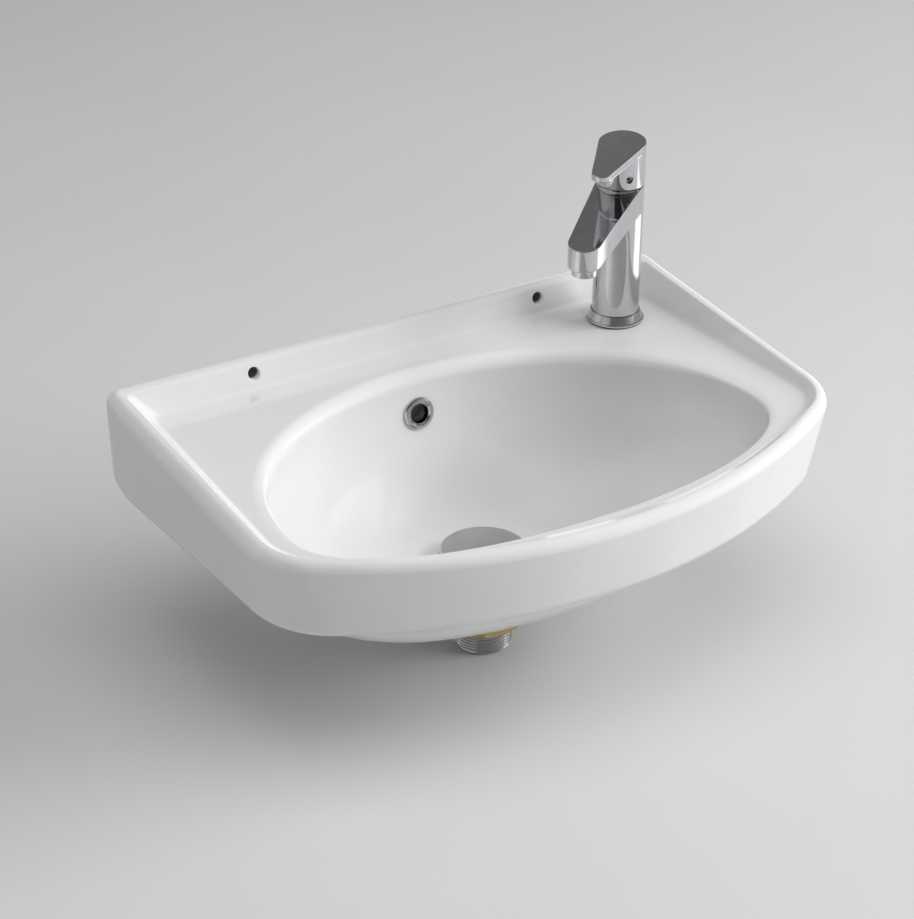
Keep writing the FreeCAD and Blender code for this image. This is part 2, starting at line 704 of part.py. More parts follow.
def make_handle_grub_screw():
    """Build the grub screw with its key socket, sunk below the skirt's face."""
    out = grub_direction()
    head = BODY_R - GRUB_SUNK
    foot = SPLINE_R + SPLINE_GAP
    screw = Part.makeCylinder(GRUB_R, head - foot, out * foot + UP * GRUB_HIGH, out)
    key = Part.makeCylinder(GRUB_KEY_R, GRUB_KEY_DEEP, out * (head - GRUB_KEY_DEEP) + UP * GRUB_HIGH, out)
    return on_tap(screw.cut(key))


def at_tip(shape):
    """Move a shape built on the Z axis to the spout's tip."""
    return on_tap(shape.translated(ACROSS * SPOUT_REACH))


def make_aerator_housing():
    """Build the aerator's chrome housing, showing as a ring below the spout's tip."""
    neck_r = AERATOR_SOCKET_R - AERATOR_GAP
    inner = neck_r - AERATOR_WALL
    top = AERATOR_SOCKET_TOP - AERATOR_SEAL
    neck = AERATOR_FOOT + AERATOR_SKIRT
    return at_tip(turned([(inner, AERATOR_FOOT), (AERATOR_R, AERATOR_FOOT), (AERATOR_R, neck), (neck_r, neck),
                          (neck_r, top), (inner, top)]))


def make_aerator_insert():
    """Build the aerator's insert: a solid flow straightener that stands in for its fine mesh."""
    radius = AERATOR_SOCKET_R - AERATOR_WALL - 2 * AERATOR_GAP
    low = AERATOR_FOOT + AERATOR_SUNK
    return at_tip(Part.makeCylinder(radius, AERATOR_INSERT, Vector(0, 0, low)))


def make_aerator_seal():
    """Build the flat seal above the aerator."""
    outer = AERATOR_SOCKET_R - AERATOR_GAP
    top = AERATOR_SOCKET_TOP
    return at_tip(ring(outer, outer - 2 * AERATOR_WALL, top - AERATOR_SEAL, top))


SEAT_Z = FLOOR_Z - FLANGE_THICK - SEAL_THICK
BOSS_FOOT = FLOOR_Z - BOSS_DEEP
NUT_TOP = BOSS_FOOT - LOWER_SEAL - FRICTION_THICK
NUT_FOOT = NUT_TOP - NUT_HIGH


def make_waste_body():
    """Build the flanged waste: conical mouth, overflow slots and the web that holds the click cartridge."""
    flange_low = FLOOR_Z - FLANGE_THICK
    mouth_low = FLOOR_Z - (MOUTH_R - WASTE_BORE_R)
    thread = NUT_FOOT - THREAD_START
    tail = thread - TAIL_LONG
    body = turned([(MOUTH_R, FLOOR_Z), (FLANGE_R, FLOOR_Z), (FLANGE_R, flange_low),
                   (WASTE_CORE_R, flange_low), (WASTE_CORE_R, thread), (WASTE_R, thread), (WASTE_R, tail),
                   (WASTE_BORE_R, tail), (WASTE_BORE_R, mouth_low)])
    slot_low = FLOOR_Z - SLOT_DROP - SLOT_HIGH
    for wide, deep in ((SLOT_WIDE, 2 * CHAMBER_R), (2 * CHAMBER_R, SLOT_WIDE)):
        body = body.cut(Part.makeBox(wide, deep, SLOT_HIGH, Vector(-wide / 2, -deep / 2, slot_low)))
    web_low = FLOOR_Z - WEB_DROP - WEB_HIGH
    tube = Part.makeCylinder(WASTE_BORE_R + WEB_BITE, WEB_HIGH, Vector(0, 0, web_low))
    for wide, deep in ((WEB_WIDE, 2 * WASTE_R), (2 * WASTE_R, WEB_WIDE)):
        bar = Part.makeBox(wide, deep, WEB_HIGH, Vector(-wide / 2, -deep / 2, web_low))
        body = body.fuse(bar.common(tube))
    body = body.fuse(Part.makeCylinder(WEB_HUB_R, WEB_HIGH, Vector(0, 0, web_low)))
    hub = Part.makeCylinder(CLICK_R + THREAD_GAP, WEB_HIGH + 2 * OVERRUN, Vector(0, 0, web_low - OVERRUN))
    return on_waste(body.cut(hub).removeSplitter())


def make_waste_flange_seal():
    """Build the seal under the waste flange."""
    return on_waste(ring(FLANGE_R, FLANGE_SEAL_IN, SEAT_Z, SEAT_Z + SEAL_THICK))


def under_ring(top, thick):
    """Return a ring under the basin's waste boss, round the threaded tail."""
    return on_waste(ring(UNDER_R, WASTE_CORE_R + THREAD_GAP, top - thick, top))


def make_waste_lower_seal():
    """Build the rubber seal under the boss."""
    return under_ring(BOSS_FOOT, LOWER_SEAL)


def make_waste_friction_washer():
    """Build the plastic washer that lets the nut turn on the seal."""
    return under_ring(BOSS_FOOT - LOWER_SEAL, FRICTION_THICK)


def make_waste_back_nut():
    """Build the hexagon back nut on the threaded tail."""
    return on_waste(hexagon(NUT_R, WASTE_CORE_R + THREAD_GAP, NUT_FOOT, NUT_TOP))


CLICK_Z = FLOOR_Z - CLICK_TOP


def make_click_cartridge():
    """Build the click cartridge: a closed sleeve that guides the plug's stem."""
    low = CLICK_Z - CLICK_LONG
    sleeve = Part.makeCylinder(CLICK_R, CLICK_LONG, Vector(0, 0, low))
    bore = Part.makeCylinder(STEM_R + NECK_GAP, CLICK_BORE, Vector(0, 0, CLICK_Z - CLICK_BORE))
    return on_waste(sleeve.cut(bore))


PLUG_Z = FLOOR_Z + PLUG_LIFT
PLUG_UNDER = PLUG_Z - PLUG_THICK


def make_plug_stem():
    """Build the stem that carries the plug, shown raised."""
    top = PLUG_UNDER - PLUG_HUB + STEM_SOCKET
    return on_waste(Part.makeCylinder(STEM_R, STEM_LONG, Vector(0, 0, top - STEM_LONG)))


def make_waste_plug():
    """Build the flat round plug with a hub for its stem."""
    edge = PLUG_R - PLUG_CHAMFER
    hub_foot = PLUG_UNDER - PLUG_HUB
    socket, socket_r = hub_foot + STEM_SOCKET, STEM_R + THREAD_GAP
    shoulder = PLUG_Z - PLUG_CHAMFER
    return on_waste(turned([(0, PLUG_Z), (edge, PLUG_Z), (PLUG_R, shoulder), (PLUG_R, PLUG_UNDER),
                            (PLUG_HUB_R, PLUG_UNDER), (PLUG_HUB_R, hub_foot), (socket_r, hub_foot),
                            (socket_r, socket), (0, socket)]))


def make_plug_seal():
    """Build the rubber seal under the plug."""
    return on_waste(ring(PLUG_SEAL_R, PLUG_SEAL_IN, PLUG_UNDER - PLUG_SEAL, PLUG_UNDER))


PIECES = {
    "basin": make_basin,
    "overflow_ring": make_overflow_ring,
    "tap_body": make_tap_body,
    "tap_base_ring": make_tap_base_ring,
    "tap_base_gasket": make_tap_base_gasket,
    "tap_shank": make_tap_shank,
    "tap_fixing_washer": make_tap_fixing_washer,
    "tap_fixing_nut": make_tap_fixing_nut,
    "cartridge_seal": make_cartridge_seal,
    "cartridge_housing": make_cartridge_housing,
    "lower_ceramic_disc": make_lower_ceramic_disc,
    "upper_ceramic_disc": make_upper_ceramic_disc,
    "cartridge_spindle": make_cartridge_spindle,
    "spindle_o_ring": make_spindle_o_ring,
    "cartridge_gland_nut": make_cartridge_gland_nut,
    "tap_handle": make_tap_handle,
    "handle_grub_screw": make_handle_grub_screw,
    "aerator_housing": make_aerator_housing,
    "aerator_insert": make_aerator_insert,
    "aerator_seal": make_aerator_seal,
    "waste_body": make_waste_body,
    "waste_flange_seal": make_waste_flange_seal,
    "waste_lower_seal": make_waste_lower_seal,
    "waste_friction_washer": make_waste_friction_washer,
    "waste_back_nut": make_waste_back_nut,
    "click_cartridge": make_click_cartridge,
    "plug_stem": make_plug_stem,
    "waste_plug": make_waste_plug,
    "plug_seal": make_plug_seal,
}

os.makedirs("parts", exist_ok=True)
for name, make in PIECES.items():
    make().exportStep("parts/%s.step" % name)
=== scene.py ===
"""The looks of a wall-hung washbasin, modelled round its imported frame.

Lengths are in metres. The origin is midway between the two wall-fixing holes, on the wall plane.
+X runs to the right seen from the front, +Y into the wall and +Z up.
"""
import json
import logging
import math
from contextlib import contextmanager
from dataclasses import dataclass
from enum import Enum
from typing import Callable, Iterator, Optional, Sequence, Union

import bmesh
import bpy
from mathutils import Matrix, Vector


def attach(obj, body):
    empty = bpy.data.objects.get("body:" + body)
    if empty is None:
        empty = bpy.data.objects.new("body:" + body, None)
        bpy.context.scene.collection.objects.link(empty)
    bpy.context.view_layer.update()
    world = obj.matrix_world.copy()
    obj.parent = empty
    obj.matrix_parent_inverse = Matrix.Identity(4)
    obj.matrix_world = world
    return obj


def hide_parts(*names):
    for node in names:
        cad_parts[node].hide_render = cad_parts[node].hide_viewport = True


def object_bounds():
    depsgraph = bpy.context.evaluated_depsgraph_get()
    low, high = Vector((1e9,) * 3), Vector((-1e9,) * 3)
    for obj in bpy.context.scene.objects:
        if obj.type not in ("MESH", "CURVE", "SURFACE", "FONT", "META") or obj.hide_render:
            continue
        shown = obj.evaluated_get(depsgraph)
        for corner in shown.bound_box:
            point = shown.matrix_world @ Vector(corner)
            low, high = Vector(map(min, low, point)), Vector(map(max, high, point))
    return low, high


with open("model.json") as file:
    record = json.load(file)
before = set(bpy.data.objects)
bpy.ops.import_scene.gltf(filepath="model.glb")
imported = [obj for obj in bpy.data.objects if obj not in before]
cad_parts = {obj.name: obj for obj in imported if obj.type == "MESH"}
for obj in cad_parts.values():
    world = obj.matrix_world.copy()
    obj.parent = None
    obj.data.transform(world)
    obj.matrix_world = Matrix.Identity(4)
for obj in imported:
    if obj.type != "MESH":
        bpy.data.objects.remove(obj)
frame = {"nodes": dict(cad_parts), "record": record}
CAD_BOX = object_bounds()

LOG = logging.getLogger("washbasin")
TINY = 1e-7
MERGE = 1e-6
FULL_TURN = 2 * math.pi
QUARTER_TURN = math.pi / 2
HALVINGS = 30
ROUNDING_ROOM = 0.98
MM = 1000.0
TONE_STOPS = (0.3, 0.7)
# The wall-fixing holes: their distance from the middle and their radius
FIXING_X = 0.119
FIXING_R = 0.00425

Piece = bpy.types.Object
Ring = list[Vector]
Pair = tuple[float, float]
Triple = tuple[float, float, float]
Colour = tuple[float, float, float, float]


class Slot(Enum):
    """The record's material slots."""

    GLAZE = "glazed_ceramic"
    CHROME = "chrome"
    SATIN = "satin_chrome"
    STEEL = "steel"
    BRASS = "brass"
    RUBBER = "rubber"
    PLASTIC = "plastic"
    DISC = "disc_ceramic"


class Cut(Enum):
    """The ways in which one solid is cut by another."""

    AWAY = "DIFFERENCE"
    KEEP = "INTERSECT"


def smooth_share(value: float, low: float, high: float) -> float:
    """Return 0 below low, 1 above high and a smooth share between them."""
    share = min(max((value - low) / (high - low), 0.0), 1.0)
    return share * share * (3 - 2 * share)


def between(low: float, high: float, share: float) -> float:
    """Return the number at a share of the way from low to high."""
    return low + (high - low) * share


def lifted(plan: Vector, z: float) -> Vector:
    """Return a plan point at a height."""
    return Vector((plan.x, plan.y, z))


def on_round(centre: Vector, radius: float, turn: float) -> Vector:
    """Return a point of a round in plan."""
    return centre + Vector((math.cos(turn), math.sin(turn))) * radius


def solve(rule: Callable[[float], float], low: float, high: float) -> float:
    """Find where a falling rule crosses zero, by halving.

    Args:
        rule: A function that is above zero at low and falls.
        low: The lower end of the search.
        high: The upper end of the search.

    Returns:
        The crossing, or the nearer end where there is none.
    """
    for _ in range(HALVINGS):
        middle = (low + high) / 2
        if rule(middle) > 0:
            low = middle
        else:
            high = middle
    return (low + high) / 2


def rounded(points: Sequence[Vector], radii: Sequence[float], steps: int) -> Ring:
    """Round the corners of an open chain with arcs that shrink to fit short sides.

    Args:
        points: The chain's corners, ends included.
        radii: One radius per corner, unused at the two ends.
        steps: The number of pieces in each arc.

    Returns:
        The rounded chain, with the same count of points whatever the corners are.
    """
    last = len(points) - 1
    angles = [math.pi] * (last + 1)
    cuts = [0.0] * (last + 1)
    for k in range(1, last):
        angles[k] = (points[k - 1] - points[k]).angle(points[k + 1] - points[k], math.pi)
        cuts[k] = radii[k] / max(math.tan(angles[k] / 2), TINY)
    fits = [1.0] * (last + 1)
    for k in range(last):
        room = ROUNDING_ROOM * (points[k + 1] - points[k]).length
        wanted = cuts[k] + cuts[k + 1]
        if wanted > room:
            fits[k] = min(fits[k], room / wanted)
            fits[k + 1] = min(fits[k + 1], room / wanted)
    chain = [points[0].copy()]
    for k in range(1, last):
        corner, cut = points[k], cuts[k] * fits[k]
        start = corner + (points[k - 1] - corner).normalized() * cut
        end = corner + (points[k + 1] - corner).normalized() * cut
        for step in range(steps + 1):
            t = step / steps
            shares = ((1 - t) ** 2, 2 * t * (1 - t) * math.sin(angles[k] / 2), t * t)
            chain.append((start * shares[0] + corner * shares[1] + end * shares[2]) / sum(shares))
    chain.append(points[last].copy())
    return chain


def outward_normals(points: Sequence[Vector]) -> list[Vector]:
    """Return the outward normal at each point of a closed outline.

    Args:
        points: The outline, which runs clockwise seen from above.

    Returns:
        One flat unit vector per point.
    """
    runs = [points[(k + 1) % len(points)] - points[k - 1] for k in range(len(points))]
    return [Vector((-run.y, run.x)).normalized() for run in runs]


def added(name: str, adding: Callable[..., set], **sizes: object) -> Piece:
    """Add a primitive as the only selected object.

    Args:
        name: The new piece's name.
        adding: The operator that adds it.
        sizes: The operator's sizes and place.

    Returns:
        The new piece.
    """
    bpy.ops.object.select_all(action="DESELECT")
    adding(**sizes)
    piece = bpy.context.object
    piece.name = name
    return piece


def linked(name: str, data: bpy.types.ID) -> Piece:
    """Put a new object in the scene.

    Args:
        name: The object's name.
        data: Its mesh, lamp or camera.

    Returns:
        The object.
    """
    piece = bpy.data.objects.new(name, data)
    bpy.context.collection.objects.link(piece)
    return piece


class Value:
    """A shader socket that takes part in Python expressions."""

    def __init__(self, graph: "Graph", socket: Optional[bpy.types.NodeSocket]) -> None:
        """Keep the socket and the graph that it belongs to."""
        self.graph = graph
        self.socket = socket

    def _math(self, operation: str, first: "Feed", second: "Feed") -> "Value":
        """Add one Math node."""
        return self.graph.node("ShaderNodeMath", {"operation": operation}, {0: first, 1: second})

    def __add__(self, other: "Feed") -> "Value":
        """Add a value."""
        return self._math("ADD", self, other)

    def __radd__(self, other: "Feed") -> "Value":
        """Be added to a number."""
        return self._math("ADD", other, self)

    def __sub__(self, other: "Feed") -> "Value":
        """Subtract a value."""
        return self._math("SUBTRACT", self, other)

    def __rsub__(self, other: "Feed") -> "Value":
        """Be subtracted from a number."""
        return self._math("SUBTRACT", other, self)

    def __mul__(self, other: "Feed") -> "Value":
        """Multiply by a value."""
        return self._math("MULTIPLY", self, other)

    def __rmul__(self, other: "Feed") -> "Value":
        """Be multiplied by a number."""
        return self._math("MULTIPLY", other, self)

    def __abs__(self) -> "Value":
        """Drop the sign."""
        return self.graph.node("ShaderNodeMath", {"operation": "ABSOLUTE"}, {0: self})


Feed = Union[Value, int, float, tuple]
Stops = Sequence[tuple[float, Colour]]


@dataclass(frozen=True)
class Grain:
    """A noise: lumps per metre, octaves, the finer lumps' strength and the scale along each axis."""

    scale: float
    detail: float = 2.0
    rough: float = 0.5
    stretch: Triple = (1.0, 1.0, 1.0)


class Graph:
    """A node tree of a material or the world, written as expressions."""

    def __init__(self, tree: bpy.types.NodeTree) -> None:
        """Start from an empty tree."""
        self.tree = tree
        self.tree.nodes.clear()

    def node(self, kind: str, settings: Optional[dict] = None, inputs: Optional[dict] = None,
             output: Union[int, str] = 0) -> Value:
        """Add a node of any type.

        Args:
            kind: The node's type name.
            settings: Its settings, set first; "stops" holds a ramp's places and colours.
            inputs: Numbers, colours or values for its sockets, by name or index.
            output: The socket to return.

        Returns:
            The chosen output.
        """
        made = self.tree.nodes.new(kind)
        for key, value in (settings or {}).items():
            if key == "stops":
                self._set_stops(made.color_ramp, value)
            else:
                setattr(made, key, value)
        for key, value in (inputs or {}).items():
            if isinstance(value, Value):
                self.tree.links.new(value.socket, made.inputs[key])
            else:
                made.inputs[key].default_value = value
        return Value(self, made.outputs[output] if made.outputs else None)

    def _set_stops(self, ramp: bpy.types.ColorRamp, stops: Stops) -> None:
        """Give a colour ramp its places and colours.

        Args:
            ramp: The new node's ramp.
            stops: The places and colours, in order.
        """
        while len(ramp.elements) < len(stops):
            ramp.elements.new(1.0)
        for element, (place, colour) in zip(ramp.elements, stops):
            element.position = place
            element.color = colour

    def place(self) -> Value:
        """Return the point on the piece, in Object coordinates."""
        return self.node("ShaderNodeTexCoord", output="Object")

    def noise(self, grain: Grain) -> Value:
        """Return a noise value over the piece, from 0 to 1."""
        point = self.node("ShaderNodeMapping", {}, {"Vector": self.place(), "Scale": grain.stretch})
        return self.node("ShaderNodeTexNoise", {}, {"Vector": point, "Scale": grain.scale,
                                                    "Detail": grain.detail, "Roughness": grain.rough})

    def ramp(self, value: Value, stops: Stops) -> Value:
        """Return a colour picked from stops by a value."""
        return self.node("ShaderNodeValToRGB", {"stops": stops}, {"Fac": value})

    def tones(self, value: Value, deep: Colour, pale: Colour, stops: Pair = TONE_STOPS) -> Value:
        """Return a colour that goes from a deep to a pale tone between two stops of a value."""
        return self.ramp(value, tuple(zip(stops, (deep, pale))))

    def axis(self, name: str) -> Value:
        """Return one coordinate of the point on the piece, in millimetres."""
        return self.node("ShaderNodeSeparateXYZ", {}, {"Vector": self.place()}, name) * MM

    def share(self, value: Value, low: float, high: float) -> Value:
        """Return 0 below low, 1 above high and a smooth share between them."""
        return self.node("ShaderNodeMapRange", {"interpolation_type": "SMOOTHSTEP"},
                         {"Value": value, "From Min": low, "From Max": high})

    def facing(self, heading: Triple) -> Value:
        """Return the cosine between the world's direction and a heading."""
        ways = {0: self.node("ShaderNodeTexCoord", output="Generated"), 1: Vector(heading).normalized()}
        return self.node("ShaderNodeVectorMath", {"operation": "DOT_PRODUCT"}, ways, "Value")

    def mix(self, share: Value, first: Feed, second: Feed) -> Value:
        """Return a colour at a share of the way from one colour to another."""
        return self.node("ShaderNodeMix", {"data_type": "RGBA"}, {0: share, 6: first, 7: second}, 2)

    def bump(self, height: Value, strength: float, depth: float) -> Value:
        """Return normals bumped by a height value."""
        return self.node("ShaderNodeBump", {}, {"Height": height, "Strength": strength, "Distance": depth})

    def surface(self, inputs: dict) -> None:
        """Close the tree with a Principled shader."""
        shader = self.node("ShaderNodeBsdfPrincipled", {}, inputs)
        self.node("ShaderNodeOutputMaterial", {}, {"Surface": shader})


def blank_material(name: str) -> tuple[bpy.types.Material, Graph]:
    """Start a material.

    Args:
        name: The material's name.

    Returns:
        The material and its empty graph.
    """
    material = bpy.data.materials.new(name)
    material.use_nodes = True
    return material, Graph(material.node_tree)


def grey(level: float) -> Colour:
    """Return a neutral colour of a level."""
    return (level, level, level, 1.0)


@dataclass(frozen=True)
class Glaze:
    """White vitreous glaze: a glassy coat that dips a little over the clay. The holes are in millimetres."""

    name: str = "white_glaze"
    pale: Colour = (0.760, 0.766, 0.760, 1.0)
    deep: Colour = (0.732, 0.739, 0.734, 1.0)
    # Dark colour deep inside the fixing holes: painted shade on the bare clay, which is also made rough and
    # unglazed
    shaded_clay: Colour = (0.16, 0.155, 0.15, 1.0)
    clouds: Grain = Grain(22.0, 3.0)
    dips: Grain = Grain(95.0)
    specks: Grain = Grain(900.0)
    ior: float = 1.52
    specular: float = 0.55
    gloss: float = 0.035
    speck_rough: float = 0.03
    clay_rough: float = 0.6
    dip_lift: float = 0.03
    dip_depth: float = 0.0006
    hole_x: float = FIXING_X * MM
    hole_r: float = FIXING_R * MM
    hole_edge: float = 0.4
    # Depths in millimetres along Y over which the bare clay and its painted shade fade in
    bare_shade_depths: Pair = (-15.0, -13.0)

    def dress(self, graph: Graph) -> None:
        """Write the glaze's nodes, with rough bare clay deep inside the two fixing holes; its dark colour
        there is painted shade.

        Args:
            graph: The material's empty graph.
        """
        across, height = abs(graph.axis("X")) - self.hole_x, graph.axis("Z")
        reach = across * across + height * height
        # Mask deep in the fixing holes: it makes the clay rough and mixes in the painted shade colour
        bare_and_shaded = 1.0 - graph.share(reach, self.hole_r ** 2, (self.hole_r + self.hole_edge) ** 2)
        bare_and_shaded = bare_and_shaded * graph.share(graph.axis("Y"), *self.bare_shade_depths)
        glaze = graph.tones(graph.noise(self.clouds), self.deep, self.pale)
        graph.surface({
            "Base Color": graph.mix(bare_and_shaded, glaze, self.shaded_clay),
            "Roughness": self.gloss + self.speck_rough * graph.noise(self.specks) + self.clay_rough * bare_and_shaded,
            "IOR": self.ior,
            "Specular IOR Level": self.specular,
            "Normal": graph.bump(graph.noise(self.dips), self.dip_lift, self.dip_depth),
        })


@dataclass(frozen=True)
class Finish:
    """Two tones in patches under a fine grain. The roughness swings with the grain, or with the smears."""

    name: str
    bright: Colour
    dull: Colour
    tones: Grain
    grain: Grain
    rough: float
    swing: float
    lift: float
    depth: float = 0.0002
    metal: float = 1.0
    stops: Pair = TONE_STOPS
    smeared: bool = False

    def dress(self, graph: Graph) -> None:
        """Write the finish's nodes.

        Args:
            graph: The material's empty graph.
        """
        tones, grain = graph.noise(self.tones), graph.noise(self.grain)
        graph.surface({
            "Base Color": graph.tones(tones, self.dull, self.bright, self.stops),
            "Metallic": self.metal,
            "Roughness": self.rough + self.swing * (tones if self.smeared else grain),
            "Normal": graph.bump(grain, self.lift, self.depth),
        })


def turned_metal(name: str, bright: Colour, dull: Colour, rough: float) -> Finish:
    """Return plain metal with the fine lines of the lathe."""
    stains, lines = Grain(scale=70.0, detail=4.0, rough=0.6), Grain(scale=900.0, stretch=(0.08, 0.08, 3.0))
    return Finish(name, bright, dull, stains, lines, rough, swing=0.14, lift=0.12)


def moulded(name: str, bright: Colour, dull: Colour, rough: float, fine: float) -> Finish:
    """Return a matt moulded or pressed material: rubber, plastic or lapped ceramic."""
    patches, grain = Grain(scale=80.0, detail=3.0), Grain(fine, detail=3.0)
    return Finish(name, bright, dull, patches, grain, rough, swing=0.12, lift=0.15, metal=0.0)


FINISHES = {
    Slot.GLAZE: Glaze(),
    Slot.CHROME: Finish(
        "polished_chrome", (0.62, 0.625, 0.635, 1.0), (0.565, 0.57, 0.585, 1.0),
        Grain(60.0, 4.0, 0.6, (1.0, 1.0, 0.4)), Grain(1400.0, 1.0), rough=0.03, swing=0.05, lift=0.01,
        depth=0.0001, stops=(0.35, 0.62), smeared=True),
    Slot.SATIN: Finish(
        "satin_chrome", (0.64, 0.64, 0.645, 1.0), (0.56, 0.56, 0.565, 1.0), Grain(45.0, 3.0), Grain(2600.0),
        rough=0.30, swing=0.10, lift=0.08),
    Slot.STEEL: turned_metal("stainless_steel", (0.46, 0.46, 0.47, 1.0), (0.38, 0.38, 0.39, 1.0), 0.26),
    Slot.BRASS: turned_metal("plain_brass", (0.74, 0.55, 0.26, 1.0), (0.62, 0.44, 0.20, 1.0), 0.24),
    Slot.RUBBER: moulded(
        "black_rubber", (0.035, 0.035, 0.036, 1.0), (0.022, 0.022, 0.023, 1.0), 0.58, 1800.0),
    Slot.PLASTIC: moulded("pale_plastic", (0.72, 0.72, 0.69, 1.0), (0.66, 0.66, 0.63, 1.0), 0.38, 1200.0),
    Slot.DISC: moulded("lapped_ceramic", (0.82, 0.80, 0.75, 1.0), (0.77, 0.75, 0.70, 1.0), 0.30, 2400.0),
}


class Finishes:
    """Makes each finish's material once and puts it on pieces."""

    def __init__(self) -> None:
        """Start with no material made."""
        self.made: dict[Slot, bpy.types.Material] = {}

    def material(self, slot: Slot) -> bpy.types.Material:
        """Return the material of a slot, made on first use.

        Args:
            slot: The material slot.

        Returns:
            The slot's material.
        """
        if slot not in self.made:
            finish = FINISHES[slot]
            self.made[slot], graph = blank_material(finish.name)
            finish.dress(graph)
        return self.made[slot]

    def dress(self, piece: Piece, slot: Slot) -> None:
        """Give a piece one finish all over.

        Args:
            piece: The piece.
            slot: Its material slot.
        """
        piece.data.materials.clear()
        piece.data.materials.append(self.material(slot))


@dataclass
class Bench:
    """The modelling steps that the pieces share."""

    finishes: Finishes
    sharp: float = 32.0
    mouth_sharp: float = 40.0
    mouth_bend: int = 4
    thread_rows: int = 8
    thread_deep: float = 0.60
    thread_ends: Pair = (-0.2, 1.1)
    thread_flank: float = 1.2
    nut_turn: float = 30.0
    nut_drop: float = 0.62
    nut_ease: float = 0.05

    def pick(self, piece: Piece) -> None:
        """Make one piece the only selected and the active one.

        Args:
            piece: The piece.
        """
        bpy.ops.object.select_all(action="DESELECT")
        piece.select_set(True)
        bpy.context.view_layer.objects.active = piece

    @contextmanager
    def _editing(self, piece: Piece) -> Iterator[None]:
        """Hold one piece in edit mode, selected all over at the start.

        Args:
            piece: The piece.

        Returns:
            A context that goes back to object mode at its end.
        """
        self.pick(piece)
        bpy.ops.object.mode_set(mode="EDIT")
        bpy.ops.mesh.select_all(action="SELECT")
        yield
        bpy.ops.object.mode_set(mode="OBJECT")

    def _close_mesh(self, piece: Piece) -> None:
        """Merge doubles and turn all faces outwards.

        Args:
            piece: The piece.
        """
        with self._editing(piece):
            bpy.ops.mesh.remove_doubles(threshold=MERGE)
            bpy.ops.mesh.dissolve_degenerate(threshold=MERGE)
            bpy.ops.mesh.normals_make_consistent(inside=False)

    def loft(self, name: str, sections: Sequence[Ring], capped: bool = False) -> Piece:
        """Extrude a circle from ring to ring along sections.

        Args:
            name: The new piece's name.
            sections: One section per station, all with the same count of points.
            capped: Whether the first and last rings are closed with faces.

        Returns:
            The lofted piece.
        """
        rings = list(zip(*sections))
        piece = added(name, bpy.ops.mesh.primitive_circle_add, vertices=len(sections))
        with self._editing(piece):
            mesh = bmesh.from_edit_mesh(piece.data)
            station = mesh.verts.layers.int.new("station")
            for index, vert in enumerate(mesh.verts):
                vert[station] = index
                vert.co = rings[0][index]
            bmesh.update_edit_mesh(piece.data)
            if capped:
                self._cap(piece)
            for ring in rings[1:]:
                bpy.ops.mesh.extrude_edges_indiv()
                mesh = bmesh.from_edit_mesh(piece.data)
                station = mesh.verts.layers.int["station"]
                for vert in mesh.verts:
                    if vert.select:
                        vert.co = ring[vert[station]]
                bmesh.update_edit_mesh(piece.data)
            if capped:
                bpy.ops.mesh.edge_face_add()
        self._close_mesh(piece)
        return piece

    def _cap(self, piece: Piece) -> None:
        """Close the selected ring and leave only its edges selected.

        Args:
            piece: The piece, in edit mode.
        """
        bpy.ops.mesh.edge_face_add()
        mesh = bmesh.from_edit_mesh(piece.data)
        for face in mesh.faces:
            face.select = False
        for edge in mesh.edges:
            edge.select = True
        mesh.select_flush_mode()
        bmesh.update_edit_mesh(piece.data)

    def turn(self, name: str, profile: Sequence[Pair], radii: Sequence[float], steps: int = 96,
             bend: int = 4) -> Piece:
        """Spin a rounded profile about Z.

        Args:
            name: The new piece's name.
            profile: Corners as (radius, height), an open chain that ends where it starts or on the axis.
            radii: One rounding per corner.
            steps: Facets round the axis.
            bend: Facets in each rounding.

        Returns:
            The turned piece, on the Z axis.
        """
        chain = rounded([Vector((r, 0.0, z)) for r, z in profile], radii, bend)
        mesh = bpy.data.meshes.new(name)
        mesh.from_pydata([tuple(p) for p in chain], [(k, k + 1) for k in range(len(chain) - 1)], [])
        piece = linked(name, mesh)
        with self._editing(piece):
            bpy.ops.mesh.spin(steps=steps, angle=FULL_TURN, center=(0, 0, 0), axis=(0, 0, 1))
        self._close_mesh(piece)
        return piece

    def washer(self, name: str, bore: float, outer: float, low: float, high: float, ease: float,
               steps: int = 96) -> Piece:
        """Turn a flat ring with eased outer edges.

        Args:
            name: The new piece's name.
            bore: The bore's radius.
            outer: The outside radius.
            low: The lower face's height.
            high: The upper face's height.
            ease: The rounding of the outer edges.
            steps: Facets round the axis.

        Returns:
            The ring, on the Z axis.
        """
        corners = [(bore, low), (outer, low), (outer, high), (bore, high), (bore, low)]
        return self.turn(name, corners, (0.0, ease, ease, 0.0, 0.0), steps)

    def thread(self, name: str, radius: float, core: float, pitch: float, low: float, high: float,
               steps: int = 72) -> Piece:
        """Wind a screw thread on a grid whose two ends meet a pitch apart.

        Args:
            name: The new piece's name.
            radius: The thread's outside radius.
            core: The radius of the wall behind the thread.
            pitch: The rise of one turn.
            low: The lower end's height.
            high: The upper end's height.
            steps: Facets round the axis.

        Returns:
            The thread as a closed sleeve, on the Z axis.
        """
        parts, deep = self.thread_rows, self.thread_deep * pitch
        rows = math.ceil((high - low) / pitch + 1) * parts
        piece = added(name, bpy.ops.mesh.primitive_grid_add, x_subdivisions=steps, y_subdivisions=rows + 2)
        run_in, run_out = (share * pitch for share in self.thread_ends)
        for index, vert in enumerate(piece.data.vertices):
            row, column = divmod(index, steps + 1)
            level = low - pitch + pitch * (row - 1) / parts + pitch * column / steps
            z = min(max(level, low), high)
            ends = smooth_share(min(z - low, high - z), run_in, run_out)
            wave = 0.5 + 0.5 * math.cos(FULL_TURN * (row - 1) / parts)
            r = radius - deep * (1 - ends * (1 - wave ** self.thread_flank))
            if row == 0 or row == rows + 2:
                r, z = core, low if row == 0 else high
            vert.co = lifted(on_round(Vector((0.0, 0.0)), r, FULL_TURN * column / steps), z)
        self._close_mesh(piece)
        return piece

